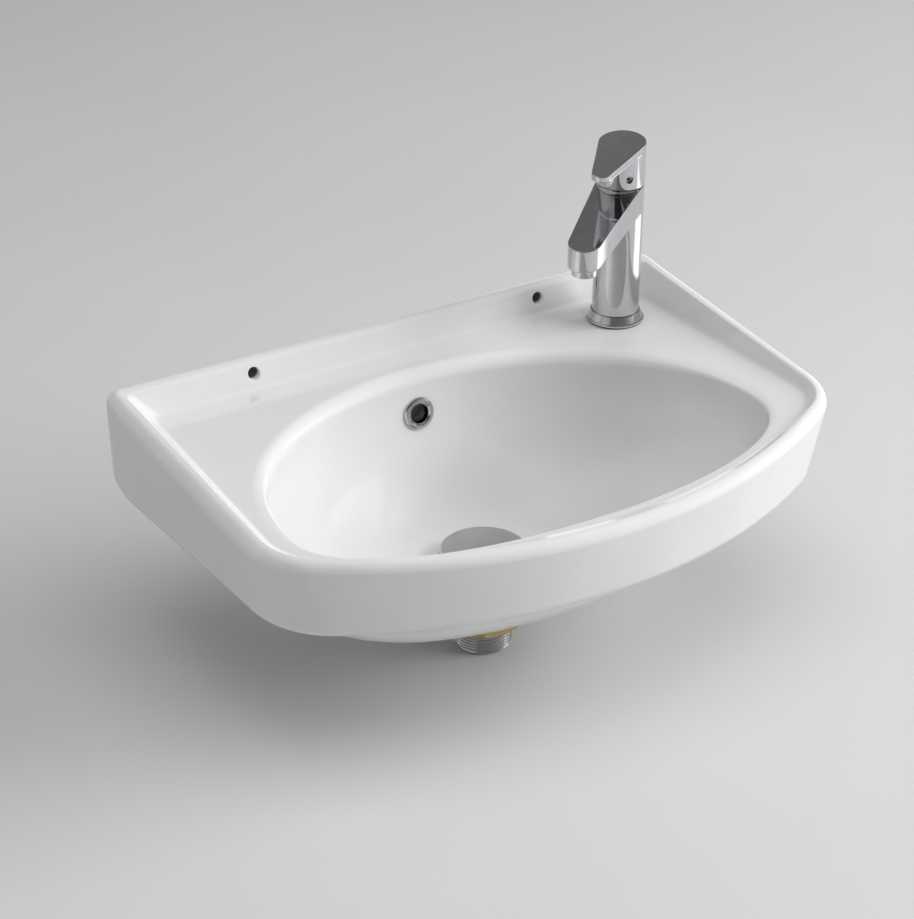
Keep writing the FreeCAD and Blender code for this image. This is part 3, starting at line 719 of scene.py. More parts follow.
    def hexagon(self, name: str, radius: float, bore: float, low: float, high: float) -> Piece:
        """Model a hexagon nut with chamfered corners and an eased bore.

        Args:
            name: The new piece's name.
            radius: The distance from the axis to a corner.
            bore: The bore's radius.
            low: The lower face's height.
            high: The upper face's height.

        Returns:
            The nut, on the Z axis.
        """
        turn = math.radians(self.nut_turn)
        nut = added(name, bpy.ops.mesh.primitive_cylinder_add, vertices=6, radius=radius, depth=high - low,
                    location=(0, 0, (low + high) / 2), rotation=(0, 0, turn))
        bpy.ops.object.transform_apply(location=True, rotation=True, scale=True)
        flat, ease = radius * math.cos(turn), self.nut_ease * radius
        drop = (radius - flat) * self.nut_drop
        profile = [(bore + ease, low), (flat, low), (radius, low + drop), (radius, high - drop), (flat, high),
                   (bore + ease, high), (bore, high - ease), (bore, low + ease), (bore + ease, low)]
        self.cut(nut, self.turn(name + "_form", profile, [0.0] * len(profile)), Cut.KEEP)
        return nut

    def bar(self, name: str, radius: float, start: Vector, end: Vector, steps: int = 48) -> Piece:
        """Add a round bar between two points, used as a cutter.

        Args:
            name: The new piece's name.
            radius: The bar's radius.
            start: One end.
            end: The other end.
            steps: Facets round the bar.

        Returns:
            The bar.
        """
        run = end - start
        piece = added(name, bpy.ops.mesh.primitive_cylinder_add, vertices=steps, radius=radius,
                      depth=run.length)
        turned = run.to_track_quat("Z", "Y").to_matrix().to_4x4()
        self.move(piece, Matrix.Translation((start + end) / 2) @ turned)
        return piece

    def block(self, name: str, place: Matrix, size: Triple) -> Piece:
        """Add a block, used as a cutter or as a web.

        Args:
            name: The new piece's name.
            place: The place of its middle.
            size: Its three sides.

        Returns:
            The block.
        """
        piece = added(name, bpy.ops.mesh.primitive_cube_add, size=1.0)
        self.move(piece, place @ Matrix.Diagonal(size).to_4x4())
        return piece

    def cut(self, piece: Piece, cutter: Piece, way: Cut = Cut.AWAY) -> None:
        """Cut a piece by another solid, which is then removed.

        Args:
            piece: The piece that stays.
            cutter: The solid that cuts it.
            way: Whether the cutter is taken away or kept.
        """
        self.pick(piece)
        modifier = piece.modifiers.new("cut", "BOOLEAN")
        modifier.object = cutter
        modifier.operation = way.value
        modifier.solver = "EXACT"
        bpy.ops.object.modifier_apply(modifier=modifier.name)
        bpy.data.objects.remove(cutter, do_unlink=True)

    def join(self, piece: Piece, *others: Piece) -> None:
        """Make other pieces part of one piece.

        Args:
            piece: The piece that stays.
            others: The pieces that it takes in.
        """
        self.pick(piece)
        for other in others:
            other.select_set(True)
        bpy.ops.object.join()

    def move(self, piece: Piece, matrix: Matrix) -> None:
        """Move a piece's mesh, so that its object stays at the origin."""
        piece.data.transform(matrix)
        piece.data.update()

    def ease_mouth(self, piece: Piece, centre: Vector, reach: float, width: float) -> None:
        """Bevel the sharp edges near a point.

        Args:
            piece: The piece.
            centre: The middle of the mouth.
            reach: How far from the middle an edge may lie.
            width: The bevel's width.
        """
        least = math.radians(self.mouth_sharp)
        with self._editing(piece):
            bpy.ops.mesh.select_mode(type="EDGE")
            bpy.ops.mesh.select_all(action="DESELECT")
            mesh = bmesh.from_edit_mesh(piece.data)
            for edge in mesh.edges:
                near = all((vert.co - centre).length < reach for vert in edge.verts)
                edge.select = near and len(edge.link_faces) == 2 and edge.calc_face_angle() > least
            mesh.select_flush_mode()
            bmesh.update_edit_mesh(piece.data)
            bpy.ops.mesh.bevel(offset=width, segments=self.mouth_bend, affect="EDGES")
            bpy.ops.mesh.select_mode(type="VERT")

    def done(self, piece: Piece, node: str, body: str, slot: Slot, place: Matrix = Matrix()) -> None:
        """Put a finished piece in its place, shade it, dress it, hide the CAD node that it replaces and hang
        it on its body.

        Args:
            piece: The finished piece.
            node: The CAD node that it replaces.
            body: The CAD body that it rides on.
            slot: Its material slot.
            place: Its place, which goes into its mesh.
        """
        self.move(piece, place)
        self.pick(piece)
        bpy.ops.object.shade_smooth_by_angle(angle=math.radians(self.sharp))
        weighted = piece.modifiers.new("even_shading", "WEIGHTED_NORMAL")
        weighted.keep_sharp = True
        bpy.ops.object.modifier_apply(modifier=weighted.name)
        if "station" in piece.data.attributes:
            piece.data.attributes.remove(piece.data.attributes["station"])
        self.finishes.dress(piece, slot)
        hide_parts(node)
        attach(piece, body)
        LOG.info("%s: %d faces", piece.name, len(piece.data.polygons))


@dataclass(frozen=True)
class Plan:
    """A plan outline: a straight rear, two sides, rounded corners and a bowed front."""

    half_rear: float
    half_corner: float
    rear: float
    front: float
    bow: float
    corner: float
    rear_corner: float
    side_run: float = 0.2013
    pieces: tuple[int, int, int, int, int] = (28, 8, 48, 20, 36)

    def points(self) -> list[Vector]:
        """Draw the right half and mirror it.

        Returns:
            The outline from the rear's middle, right side first, as flat vectors.
        """
        slant = math.atan2(self.half_rear - self.half_corner, self.side_run)
        along = Vector((-math.sin(slant), -math.cos(slant)))
        inward = Vector((-math.cos(slant), math.sin(slant)))
        start = Vector((self.half_rear, self.rear))
        hub = Vector((0.0, self.front + self.bow))
        reach = start + inward * self.corner - hub
        lean = reach.dot(along)
        run = -lean + math.sqrt(lean * lean - reach.dot(reach) + (self.bow - self.corner) ** 2)
        skip = self.rear_corner * (1 + math.sin(slant)) / math.cos(slant)
        side_start, side_end = start + along * skip, start + along * run
        rear_hub = side_start + inward * self.rear_corner
        corner_hub = side_end + inward * self.corner
        out = (corner_hub - hub).normalized()
        side_turn, front_turn = -slant, math.atan2(out.y, out.x)
        stretches = (
            lambda t: Vector((rear_hub.x * t, self.rear)),
            lambda t: on_round(rear_hub, self.rear_corner, between(QUARTER_TURN, side_turn, t)),
            lambda t: side_start.lerp(side_end, t),
            lambda t: on_round(corner_hub, self.corner, between(side_turn, front_turn, t)),
            lambda t: on_round(hub, self.bow, between(front_turn, -QUARTER_TURN, t)),
        )
        right = [stretch(k / count) for stretch, count in zip(stretches, self.pieces) for k in range(count)]
        right.append(Vector((0.0, self.front)))
        return right + [Vector((-p.x, p.y)) for p in right[-2:0:-1]]


@dataclass
class Basin:
    """The glazed basin: ledge, lips, deck, bowl, apron, underside and waste boss in one skin."""

    bench: Bench
    # Outline, deck and rim
    width: float = 0.457
    depth: float = 0.305
    deck_rear: float = -0.010
    deck_front: float = -0.0136
    deck_rows: int = 5
    rim_rear: float = 0.009
    rim_front: float = -0.0130
    ledge_crown: float = 0.0026
    crown_run: float = 0.030
    apron_low: float = -0.069
    bow: float = 0.390
    corner: float = 0.048
    rear_corner: float = 0.012
    inner_corner: float = 0.006
    tuck_rear: float = 0.002
    tuck_corner: float = 0.0105
    tuck_front: float = 0.007
    tuck_round: float = 0.018
    corner_lift: float = 0.010
    corner_run: float = 0.028
    # Ledge and lips
    lip_top: float = 0.0125
    lip_top_front: float = 0.0085
    ledge_top: float = 0.014
    ledge_foot: float = 0.021
    ledge_blend: float = 0.006
    lip_foot_rear: float = 0.028
    lip_foot_corner: float = 0.0165
    lip_foot_front: float = 0.0135
    foot_inset: float = 0.012
    foot_corner: float = 0.008
    foot_round: float = 0.006
    # Rounds of the skin, each pair for the lips and the ledge
    crest_rounds: Pair = (0.0026, 0.0055)
    rim_rounds: Pair = (0.0095, 0.008)
    low_round: float = 0.0095
    seam_round: float = 0.0012
    hollow_round: float = 0.006
    # Walls and the hollow below
    wall: float = 0.011
    rear_wall: float = 0.016
    under_deck: float = -0.0266
    hollow_gap: Pair = (0.006, 0.024)
    # Bowl and its edge
    waste: Vector = Vector((-0.0095, -0.146))
    bowl_half: float = 0.1845
    bowl_widest: float = -0.205
    bowl_rear: float = -0.056
    bowl_front: float = -0.284
    bowl_depth: float = 0.1085
    bowl_rows: int = 26
    bowl_shell: float = 0.009
    shell_gap: float = 0.0015
    shell_rows: int = 14
    edge_rear: float = 0.0105
    edge_front: float = 0.0050
    edge_turn: Pair = (-0.6, 0.1)
    edge_break: float = 0.0024
    edge_roll: float = 0.55
    edge_slope: float = 12.0
    edge_plain: Pair = (0.15, 0.75)
    swell: float = 2.2
    # Waste seat and boss
    seat_r: float = 0.033
    seat_gap: float = 0.0004
    seat_edge: float = 0.0006
    floor_r: float = 0.085
    seat_drop: float = 0.004
    hole_r: float = 0.02245
    boss_r: float = 0.038
    boss_deep: float = 0.034
    boss_flare: float = 0.004
    boss_neck: float = 0.003
    boss_edge: float = 0.002
    boss_bend: int = 3
    # Fixing holes and the tap's landing
    fixing_run: Pair = (0.02, -0.05)
    front_mouth: Pair = (0.0075, 0.0011)
    rear_mouth: Pair = (0.0055, 0.0008)
    tap_hole_r: float = 0.016
    tap_hole_low: float = -0.05
    landing_r: float = 0.025
    landing_blend: float = 0.012
    tap_axis: Vector = Vector((0.162, -0.0555))
    landing_z: float = -0.01012
    # Overflow and its duct
    overflow_drop: float = 0.032
    overflow_tilt: float = 9.5
    overflow_r: float = 0.009
    overflow_run: Pair = (0.01, -0.013)
    duct_half: float = 0.015
    duct_skin: float = 0.006
    duct_blend: float = 0.006
    duct_shell: float = 0.020
    duct_middle: Triple = (0.0, 0.010, -0.0105)
    duct_long: float = 0.040
    duct_thick: float = 0.007
    # Facets in each rounding
    bend: int = 8

    def rim_z(self, y: float) -> float:
        """Return the rim's height at a distance in front of the wall."""
        return between(self.rim_rear, self.rim_front, -y / self.depth)

    def deck_z(self, y: float) -> float:
        """Return the deck's height at a distance in front of the wall."""
        run = (-y - self.ledge_foot) / (self.depth - self.ledge_foot)
        return between(self.deck_rear, self.deck_front, run)

    @property
    def floor_z(self) -> float:
        """Return the height of the bowl's floor at the waste."""
        return self.deck_z(self.waste.y) - self.bowl_depth

    def _rim_plan(self, side: float, rear: float, front: float, rear_corner: float) -> Plan:
        """Return the rim's outline drawn in by three insets."""
        half, corner = self.width / 2 - side, self.corner - (side + front) / 2
        return Plan(half, half, -rear, front - self.depth, self.bow - front, corner, rear_corner)

    def _apron_plan(self, inset: float, rear: float, rear_corner: float) -> Plan:
        """Return the apron's lower outline, drawn in at the sides and front by an inset."""
        half, front = self.width / 2 - inset, inset + self.tuck_front
        return Plan(half - self.tuck_rear, half - self.tuck_corner, -rear, front - self.depth,
                    self.bow - front, self.corner + self.tuck_round - inset, rear_corner)

    def _foot_plan(self) -> Plan:
        """Return the line where the lips and the ledge meet the deck."""
        half, front, corner = self.width / 2, self.lip_foot_front, self.corner - self.foot_inset
        return Plan(half - self.lip_foot_rear, half - self.lip_foot_corner, -self.ledge_foot,
                    front - self.depth, self.bow - front, corner, self.foot_corner)

    def _reach(self, rear: bool) -> float:
        """Return the oval's reach from its widest line to the rear or the front."""
        return self.bowl_rear - self.bowl_widest if rear else self.bowl_widest - self.bowl_front

    def _oval(self, turn: float, share: float, grow: float) -> Vector:
        """Return a point of the bowl's oval, shrunk towards the waste.

        Args:
            turn: The point's angle on the oval.
            share: The share of the way from the waste to the oval.
            grow: How far the oval is grown.

        Returns:
            The point in plan.
        """
        rear = math.sin(turn) >= 0
        power = 1.0 if rear else 2 / self.swell
        x = math.copysign(abs(math.cos(turn)) ** power, math.cos(turn)) * (self.bowl_half + grow)
        y = math.copysign(abs(math.sin(turn)) ** power, math.sin(turn)) * (self._reach(rear) + grow)
        return self.waste + Vector((x, self.bowl_widest - self.waste.y + y)) * share

    def _oval_turn(self, point: Vector) -> float:
        """Return the angle on the oval that faces a point of the deck."""
        ahead = (point.y - self.bowl_widest) / self._reach(point.y > self.bowl_widest)
        return math.atan2(ahead, (point.x - self.waste.x) / self.bowl_half)

    def _shares(self, level: float) -> Pair:
        """Return the width share and depth share of the bowl at a level angle."""
        power = 2 / self.swell
        return math.cos(level) ** power, math.sin(level) ** power

    def _edge(self, turn: float) -> float:
        """Return the rounding of the bowl's edge at an angle on the oval."""
        return between(self.edge_front, self.edge_rear, smooth_share(math.sin(turn), *self.edge_turn))

    def _edge_section(self, turn: float) -> list[Vector]:
        """Draw the bowl's edge: a plain round at the rear, elsewhere a slow roll and a tight break.

        Args:
            turn: The angle on the oval.

        Returns:
            Points from the wall up to the deck, each a growth of the oval and a height over the deck.
        """
        edge, slope = self._edge(turn), math.radians(self.edge_slope)
        roll = self.edge_roll * edge
        corners = [Vector((0.0, -edge)), Vector((0.0, -roll * math.tan(slope))), Vector((roll, 0.0)),
                   Vector((edge, 0.0))]
        broken = rounded(corners, (0.0, self.edge_break, edge / slope, 0.0), self.bend)
        soft = smooth_share(math.sin(turn), *self.edge_plain)
        section = []
        for k, point in enumerate(broken):
            sweep = QUARTER_TURN * k / (len(broken) - 1)
            plain = Vector((edge * (1 - math.cos(sweep)), edge * (math.sin(sweep) - 1)))
            section.append(point.lerp(plain, soft))
        return section

    def _bowl(self, turn: float, level: float, shell: float) -> Vector:
        """Return a point on the bowl's wall, or on the outside of its shell.

        Args:
            turn: The angle on the oval.
            level: The level angle, 0 at the edge.
            shell: The wall's thickness, 0 for the inside.

        Returns:
            The point.
        """
        width_share, depth_share = self._shares(level)
        plan = self._oval(turn, width_share, shell)
        edge = self._edge(turn)
        z = self.deck_z(plan.y) - edge - (self.bowl_depth - edge) * depth_share
        rise = smooth_share((plan - self.waste).length, self.seat_r, self.floor_r)
        return lifted(plan, between(self.floor_z, z, rise) - shell)

    def _level_at(self, turn: float, shell: float, out: float) -> float:
        """Return the level at which the bowl lies at a distance from the waste's axis."""
        return solve(lambda level: (self._bowl(turn, level, shell).xy - self.waste).length - out,
                     0.0, QUARTER_TURN)

    def _bowl_part(self, turn: float) -> Ring:
        """Draw a section from the waste seat up over the bowl's edge.

        Args:
            turn: The angle on the oval.

        Returns:
            The section's points.
        """
        start, rows = self._level_at(turn, 0.0, self.seat_r), self.bowl_rows
        points = [self._bowl(turn, start * (1 - k / rows), 0.0) for k in range(rows)]
        for grow, rise in self._edge_section(turn):
            plan = self._oval(turn, 1.0, grow)
            points.append(lifted(plan, self.deck_z(plan.y) + rise))
        return points

    def _land(self, point: Vector) -> Vector:
        """Return a deck point, level where the tap stands."""
        away = (point.xy - self.tap_axis).length - self.landing_r
        return lifted(point, between(self.landing_z, point.z, smooth_share(away, 0.0, self.landing_blend)))

    def _corner_rise(self, point: Vector) -> float:
        """Return how far the apron's lower edge curves up at a rear corner, where a plan point lies there."""
        side = smooth_share(abs(point.x), self.width / 2 - self.corner_run, self.width / 2 - self.rear_corner)
        return self.corner_lift * side * (1 - smooth_share(-point.y, 0.0, self.corner_run))

    def _sections(self) -> list[Ring]:
        """Draw one closed section per station.

        Returns:
            The sections, each from the waste hole over the rim and back below.
        """
        foot = self._foot_plan().points()
        crest = self._rim_plan(self.lip_top, self.ledge_top, self.lip_top_front, self.inner_corner).points()
        rim = self._rim_plan(0.0, 0.0, 0.0, self.rear_corner).points()
        low = self._apron_plan(0.0, 0.0, self.rear_corner).points()
        low_in = self._apron_plan(self.wall, self.rear_wall, self.inner_corner).points()
        top_in = self._rim_plan(self.wall, self.rear_wall, self.wall, self.inner_corner).points()
        normals = outward_normals(low_in)
        sections = []
        for k, foot_point in enumerate(foot):
            turn = self._oval_turn(foot_point)
            rear = smooth_share(crest[k].y, -self.ledge_top - self.ledge_blend, -self.ledge_top)
            crown = self.ledge_crown * smooth_share(rim[k].y, -self.crown_run, 0.0)
            apron_z = self.apron_low + self._corner_rise(low[k])
            upper = self._bowl_part(turn)
            lower = self._under_part(turn, low_in[k], top_in[k], normals[k])
            chain = [upper[-1], lifted(foot_point, self.deck_z(foot_point.y)),
                     lifted(crest[k], self.rim_z(crest[k].y)), lifted(rim[k], self.rim_z(rim[k].y) + crown),
                     lifted(low[k], apron_z), lifted(low_in[k], apron_z)] + lower[:2]
            radii = [0.0, self.foot_round, between(*self.crest_rounds, rear), between(*self.rim_rounds, rear),
                     self.low_round, self.seam_round, self.hollow_round, 0.0]
            skin = rounded(chain, radii, self.bend)
            flat = [skin[0].lerp(skin[1], row / self.deck_rows) for row in range(1, self.deck_rows)]
            deck = [self._land(point) for point in flat]
            sections.append(self._seat_part(turn) + upper + deck + skin[1:] + lower[2:])
        return sections

    def _under_part(self, turn: float, low: Vector, top: Vector, out: Vector) -> Ring:
        """Draw a section below: the hollow's corner, the bowl's shell and the boss.

        Args:
            turn: The angle on the oval.
            low: The apron's inner lower edge, in plan.
            top: The hollow's upper outer edge, in plan.
            out: The apron's outward direction, in plan.

        Returns:
            The points, from the hollow's corner to the boss's foot.
        """
        aside = abs(self._oval(turn, 1, 0).x - self.waste.x)
        duct = smooth_share(self.duct_half + self.duct_skin + self.duct_blend - aside, 0.0, self.duct_blend)
        shell = between(self.bowl_shell, self.duct_shell, duct if math.sin(turn) > 0 else 0.0)

        def outside(level: float) -> Vector:
            """Return a point on the shell's outside, kept within the apron.

            Args:
                level: The level angle, 0 at the edge.

            Returns:
                The point.
            """
            point = self._bowl(turn, level, shell)
            past = (point.xy - low).dot(out) + self.shell_gap
            return point - out.to_3d() * max(past, 0.0)

        meet = solve(lambda level: outside(level).z - self.apron_low, 0.0, QUARTER_TURN)
        gap = (low - outside(meet).xy).dot(out)
        high = between(self.apron_low, self.under_deck, smooth_share(gap, *self.hollow_gap))
        start = solve(lambda level: outside(level).z - high, 0.0, QUARTER_TURN)
        end = self._level_at(turn, shell, self.boss_r + self.boss_flare)
        corner = lifted(low.lerp(top, (high - self.apron_low) / (self.under_deck - self.apron_low)), high)
        rows = self.shell_rows
        points = [corner] + [outside(between(start, end, k / rows)) for k in range(rows + 1)]
        foot, neck = self.floor_z - self.boss_deep, points[-1].z - self.boss_neck
        corners = [points[-1]] + self._round_waste(turn, ((self.boss_r, neck), (self.boss_r, foot),
                                                          (self.hole_r, foot)))
        return points + rounded(corners, (0.0, self.boss_flare, self.boss_edge, 0.0), self.boss_bend)[1:]

    def _round_waste(self, turn: float, profile: Sequence[Pair]) -> Ring:
        """Return points at radii and heights from the waste's axis, towards an angle on the oval."""
        away = (self._oval(turn, 1, 0) - self.waste).normalized()
        return [lifted(self.waste + away * radius, z) for radius, z in profile]

    def _seat_part(self, turn: float) -> Ring:
        """Draw a section of the waste hole and its seat.

        Args:
            turn: The angle on the oval.

        Returns:
            The points, from the boss's foot up to the floor.
        """
        seat, reach = self.floor_z - self.seat_drop, self.seat_r - self.seat_gap
        return self._round_waste(turn, ((self.hole_r, self.floor_z - self.boss_deep), (self.hole_r, seat),
                                        (reach, seat), (reach, self.floor_z - self.seat_edge)))

    def overflow_frame(self, stand: float = 0.0) -> Matrix:
        """Find the overflow's place on the bowl's rear wall.

        Args:
            stand: How far the place stands off the wall.

        Returns:
            The place, its Z axis pointing into the bowl.
        """
        edge = self._edge(QUARTER_TURN)
        run = self.bowl_depth - edge
        level = solve(lambda angle: self.overflow_drop - edge - run * self._shares(angle)[1],
                      0.0, QUARTER_TURN)
        centre = self._bowl(QUARTER_TURN, level, 0.0)
        turned = Matrix.Rotation(math.radians(90 - self.overflow_tilt), 4, "X")
        return Matrix.Translation(centre) @ turned @ Matrix.Translation((0.0, 0.0, stand))

    def _bore(self, piece: Piece) -> None:
        """Cut the fixing holes, the tap hole and the overflow with its duct.

        Args:
            piece: The basin.
        """
        place = self.overflow_frame()
        for x in (-FIXING_X, FIXING_X):
            rear, front = (Vector((x, y, 0.0)) for y in self.fixing_run)
            self.bench.cut(piece, self.bench.bar("hole", FIXING_R, rear, front))
            mouth = Vector((x, -(self.ledge_top + self.ledge_foot) / 2, 0.0))
            self.bench.ease_mouth(piece, mouth, *self.front_mouth)
            self.bench.ease_mouth(piece, Vector((x, 0.0, 0.0)), *self.rear_mouth)
        top, foot = lifted(self.tap_axis, 0.0), lifted(self.tap_axis, self.tap_hole_low)
        self.bench.cut(piece, self.bench.bar("hole", self.tap_hole_r, top, foot))
        start, end = (place @ Vector((0.0, 0.0, z)) for z in self.overflow_run)
        self.bench.cut(piece, self.bench.bar("hole", self.overflow_r, start, end))
        size = (2 * self.duct_half, self.duct_long, self.duct_thick)
        self.bench.cut(piece, self.bench.block("duct", place @ Matrix.Translation(self.duct_middle), size))

    def build(self) -> None:
        """Model, bore and dress the basin."""
        piece = self.bench.loft("basin_glazed", self._sections())
        self._bore(piece)
        self.bench.done(piece, "basin", "fixed", Slot.GLAZE)


@dataclass
class OverflowRing:
    """The chrome trim ring in the bowl's rear wall."""

    bench: Bench
    basin: Basin
    outer: float = 0.0123
    hole: float = 0.0062
    sleeve: float = 0.0085
    long: float = 0.009
    proud: float = 0.0022
    bevel: float = -0.0022
    stand: float = 0.0008
    lip: Pair = (0.0074, 0.0014)
    groove: Pair = (0.0078, 0.0008)
    crown: float = 0.0087
    shoulder: Pair = (0.0117, 0.00154)
    back: float = -0.0006
    rounds: tuple[float, ...] = (0.0, 0.0002, 0.0005, 0.0004, 0.0004, 0.0012, 0.0016, 0.0002, 0.0, 0.0)
    steps: int = 80

    def build(self) -> None:
        """Turn and dress the ring."""
        profile = [
            (self.sleeve, -self.long), (self.hole, -self.long), (self.hole, self.bevel), self.lip,
            self.groove, (self.crown, self.proud), self.shoulder, (self.outer, self.back),
            (self.sleeve, self.back), (self.sleeve, -self.long)]
        piece = self.bench.turn("overflow_ring_chrome", profile, self.rounds, self.steps)
        self.bench.done(piece, "overflow_ring", "fixed", Slot.CHROME, self.basin.overflow_frame(self.stand))


@dataclass(frozen=True)
class Teardrop:
    """A teardrop outline: a large round, a small round and their common tangents, tip along +X."""

    big: float
    tip: float
    reach: float
    back_pieces: int = 72
    side_pieces: int = 16
    tip_pieces: int = 24

    def stations(self) -> list[tuple[Vector, Vector]]:
        """Pair the large round with the outline.

        Returns:
            For each station, a point of the large round and the point of the outline that it carries.
        """
        meet = QUARTER_TURN - math.asin((self.big - self.tip) / self.reach)
        hub, tip_hub = Vector((0.0, 0.0)), Vector((self.reach, 0.0))
        back = [on_round(hub, self.big, between(meet, FULL_TURN - meet, k / self.back_pieces))
                for k in range(self.back_pieces)]
        low, high = on_round(hub, self.big, -meet), on_round(hub, self.big, meet)
        low_tip, high_tip = on_round(tip_hub, self.tip, -meet), on_round(tip_hub, self.tip, meet)
        edge = [low.lerp(low_tip, k / self.side_pieces) for k in range(self.side_pieces)]
        edge += [on_round(tip_hub, self.tip, between(-meet, meet, k / self.tip_pieces))
                 for k in range(self.tip_pieces)]
        edge += [high_tip.lerp(high, k / self.side_pieces) for k in range(self.side_pieces)]
        front = [on_round(hub, self.big, between(-meet, meet, k / len(edge))) for k in range(len(edge))]
        return list(zip(back + front, back + edge))


@dataclass
class Tap:
    """The corner tap, modelled with its spout along +X and turned into place."""

    bench: Bench
    basin: Basin
    # Place and round body
    heading: float = -143.0
    body_r: float = 0.0174
    foot: float = 0.001
    seam: float = 0.1074
    ease: float = 0.0004
    fit: float = 0.0001
    # Spout and waterway
    spout_reach: float = 0.080
    spout_tip: float = 0.012
    spout_top: float = 0.1087
    spout_top_slope: float = 0.191
    spout_under: float = 0.088
    spout_under_slope: float = 0.146
    bore_r: float = 0.0111
    bore_low: float = 0.080
    water_r: float = 0.0065
    body_rounds: tuple[float, ...] = (
        0.0, 0.0003, 0.0014, 0.0009, 0.0007, 0.0005, 0.0, 0.0, 0.0003, 0.0, 0.0, 0.0, 0.0, 0.0)
    socket_r: float = 0.0082
    socket_deep: float = 0.015
    # Shank, nut and washer
    shank_core: float = 0.00998
    shank_r: float = 0.01048
    shank_root: float = 0.00928
    shank_bore: float = 0.006
    shank_in: float = 0.017
    shank_foot: float = -0.062
    shank_rounds: tuple[float, ...] = (0.0, 0.0003, 0.0, 0.0, 0.0003, 0.0, 0.0)
    shank_steps: int = 64
    thread_top: float = -0.02998
    thread_pitch: float = 0.001814
    thread_lap: float = 0.0004
    thread_steps: int = 56
    nut_r: float = 0.0173
    nut_top: float = -0.01948
    nut_low: float = -0.02848
    washer_r: float = 0.023
    washer_top: float = -0.01648
    washer_ease: float = 0.0007
    # Handle and its grub screw hole
    lever_reach: float = 0.0464
    lever_tip: float = 0.0074
    lever_top: float = 0.1391
    lever_slope: float = 0.129
    lever_thick: float = 0.0048
    lever_middle: float = 0.3
    lever_crown: float = 0.6
    lever_rounds: tuple[float, ...] = (0.0, 0.0, 0.0, 0.0003, 0.0005, 0.0016, 0.0008, 0.0009, 0.0)
    seam_gap: float = 0.0005
    cavity_r: float = 0.015
    cavity_top: float = 0.1115
    spline_r: float = 0.00402
    spline_top: float = 0.125
    grub_r: float = 0.0026
    grub_high: float = 0.1161
    grub_turn: float = 38.0
    grub_run: Pair = (0.001, 0.02)
    grub_mouth: Pair = (0.0034, 0.0003)
    grub_steps: int = 32
    # Base ring
    base_r: float = 0.0215
    base_high: float = 0.0082
    base_edge: float = 0.0016
    base_step: Pair = (0.0011, 0.0019)
    base_lip: float = 0.0010
    base_rounds: tuple[float, ...] = (0.0, 0.0, 0.0004, 0.0006, 0.0004, 0.0006, 0.0)
    base_steps: int = 112
    # Aerator
    aerator_foot: float = 0.069
    aerator_r: float = 0.00895
    aerator_neck: float = 0.0081
    aerator_bore: float = 0.0066
    aerator_shoulder: float = 0.0746
    aerator_top: float = 0.0825
    aerator_rounds: tuple[float, ...] = (0.0, 0.0006, 0.0005, 0.0, 0.0002, 0.0002, 0.0)
    insert_r: float = 0.0065
    insert_low: float = 0.070
    insert_top: float = 0.077
    insert_ribs: int = 6
    insert_steps: int = 64
    insert_bend: int = 2
    rib_deep: float = 0.0008
    rib_runs: Triple = (0.0002, 0.00055, 0.0007)
    rib_round: float = 0.0001
    # Facets of the rings and in each rounding
    ring_steps: int = 72
    bend: int = 4

    @property
    def place(self) -> Matrix:
        """Return the tap's place on the deck."""
        stand = Matrix.Translation(lifted(self.basin.tap_axis, self.basin.landing_z))
        return stand @ Matrix.Rotation(math.radians(self.heading), 4, "Z")

    @property
    def tip(self) -> Matrix:
        """Return the place under the spout's tip."""
        return self.place @ Matrix.Translation((self.spout_reach, 0.0, 0.0))

    def _top(self, x: float) -> float:
        """Return the height of the spout's top."""
        return min(self.seam - self.ease, self.spout_top - self.spout_top_slope * x)

    def _under(self, x: float) -> float:
        """Return the height of the spout's underside."""
        return self.spout_under - self.spout_under_slope * x

    def _body_section(self, column: Vector, edge: Vector) -> Ring:
        """Draw the body's section at one station.

        Args:
            column: The point of the round body.
            edge: The point of the spout's outline.

        Returns:
            The closed section.
        """
        away = column.normalized()
        socket, bore, water = away * (self.shank_core + self.fit), away * self.bore_r, away * self.water_r
        points = [
            lifted(socket, self.foot), lifted(column, self.foot), lifted(column, self._under(column.x)),
            lifted(edge, self._under(edge.x)), lifted(edge, self._top(edge.x)),
            lifted(column, self._top(column.x)), lifted(column, self.seam - self.ease),
            lifted(column - away * self.ease, self.seam), lifted(bore, self.seam),
            lifted(bore, self.bore_low), lifted(water, self.bore_low), lifted(water, self.shank_in),
            lifted(socket, self.shank_in), lifted(socket, self.foot)]
        return rounded(points, self.body_rounds, self.bend)

    def build_body(self) -> None:
        """Model the body with its spout and cut the aerator socket."""
        drop = Teardrop(self.body_r, self.spout_tip, self.spout_reach)
        piece = self.bench.loft("tap_body_chrome", [self._body_section(*pair) for pair in drop.stations()])
        start = Vector((self.spout_reach, 0.0, self.aerator_foot))
        end = start + Vector((0.0, 0.0, self.socket_deep))
        self.bench.cut(piece, self.bench.bar("socket", self.socket_r, start, end))
        self.bench.done(piece, "tap_body", "fixed", Slot.CHROME, self.place)

    def _lever_top(self, x: float) -> float:
        """Return the height of the lever's top."""
        return self.lever_top - self.lever_slope * x

    def _handle_section(self, column: Vector, edge: Vector) -> Ring:
        """Draw the handle's section at one station.

        Args:
            column: The point of the round cap.
            edge: The point of the lever's outline.

        Returns:
            The open section, from the spindle socket to the top.
        """
        away = column.normalized()
        spline, cavity, low = away * self.spline_r, away * self.cavity_r, self.seam + self.seam_gap
        crown = Vector((self.lever_reach * self.lever_middle, 0.0)).lerp(edge, self.lever_crown)
        rise, edge_rise = self._lever_top(column.x), self._lever_top(edge.x)
        points = [
            lifted(spline, self.spline_top), lifted(spline, self.cavity_top), lifted(cavity, self.cavity_top),
            lifted(cavity, low), lifted(column, low), lifted(column, rise - self.lever_thick),
            lifted(edge, edge_rise - self.lever_thick), lifted(edge, edge_rise),
            lifted(crown, self._lever_top(crown.x))]
        return rounded(points, self.lever_rounds, self.bend)

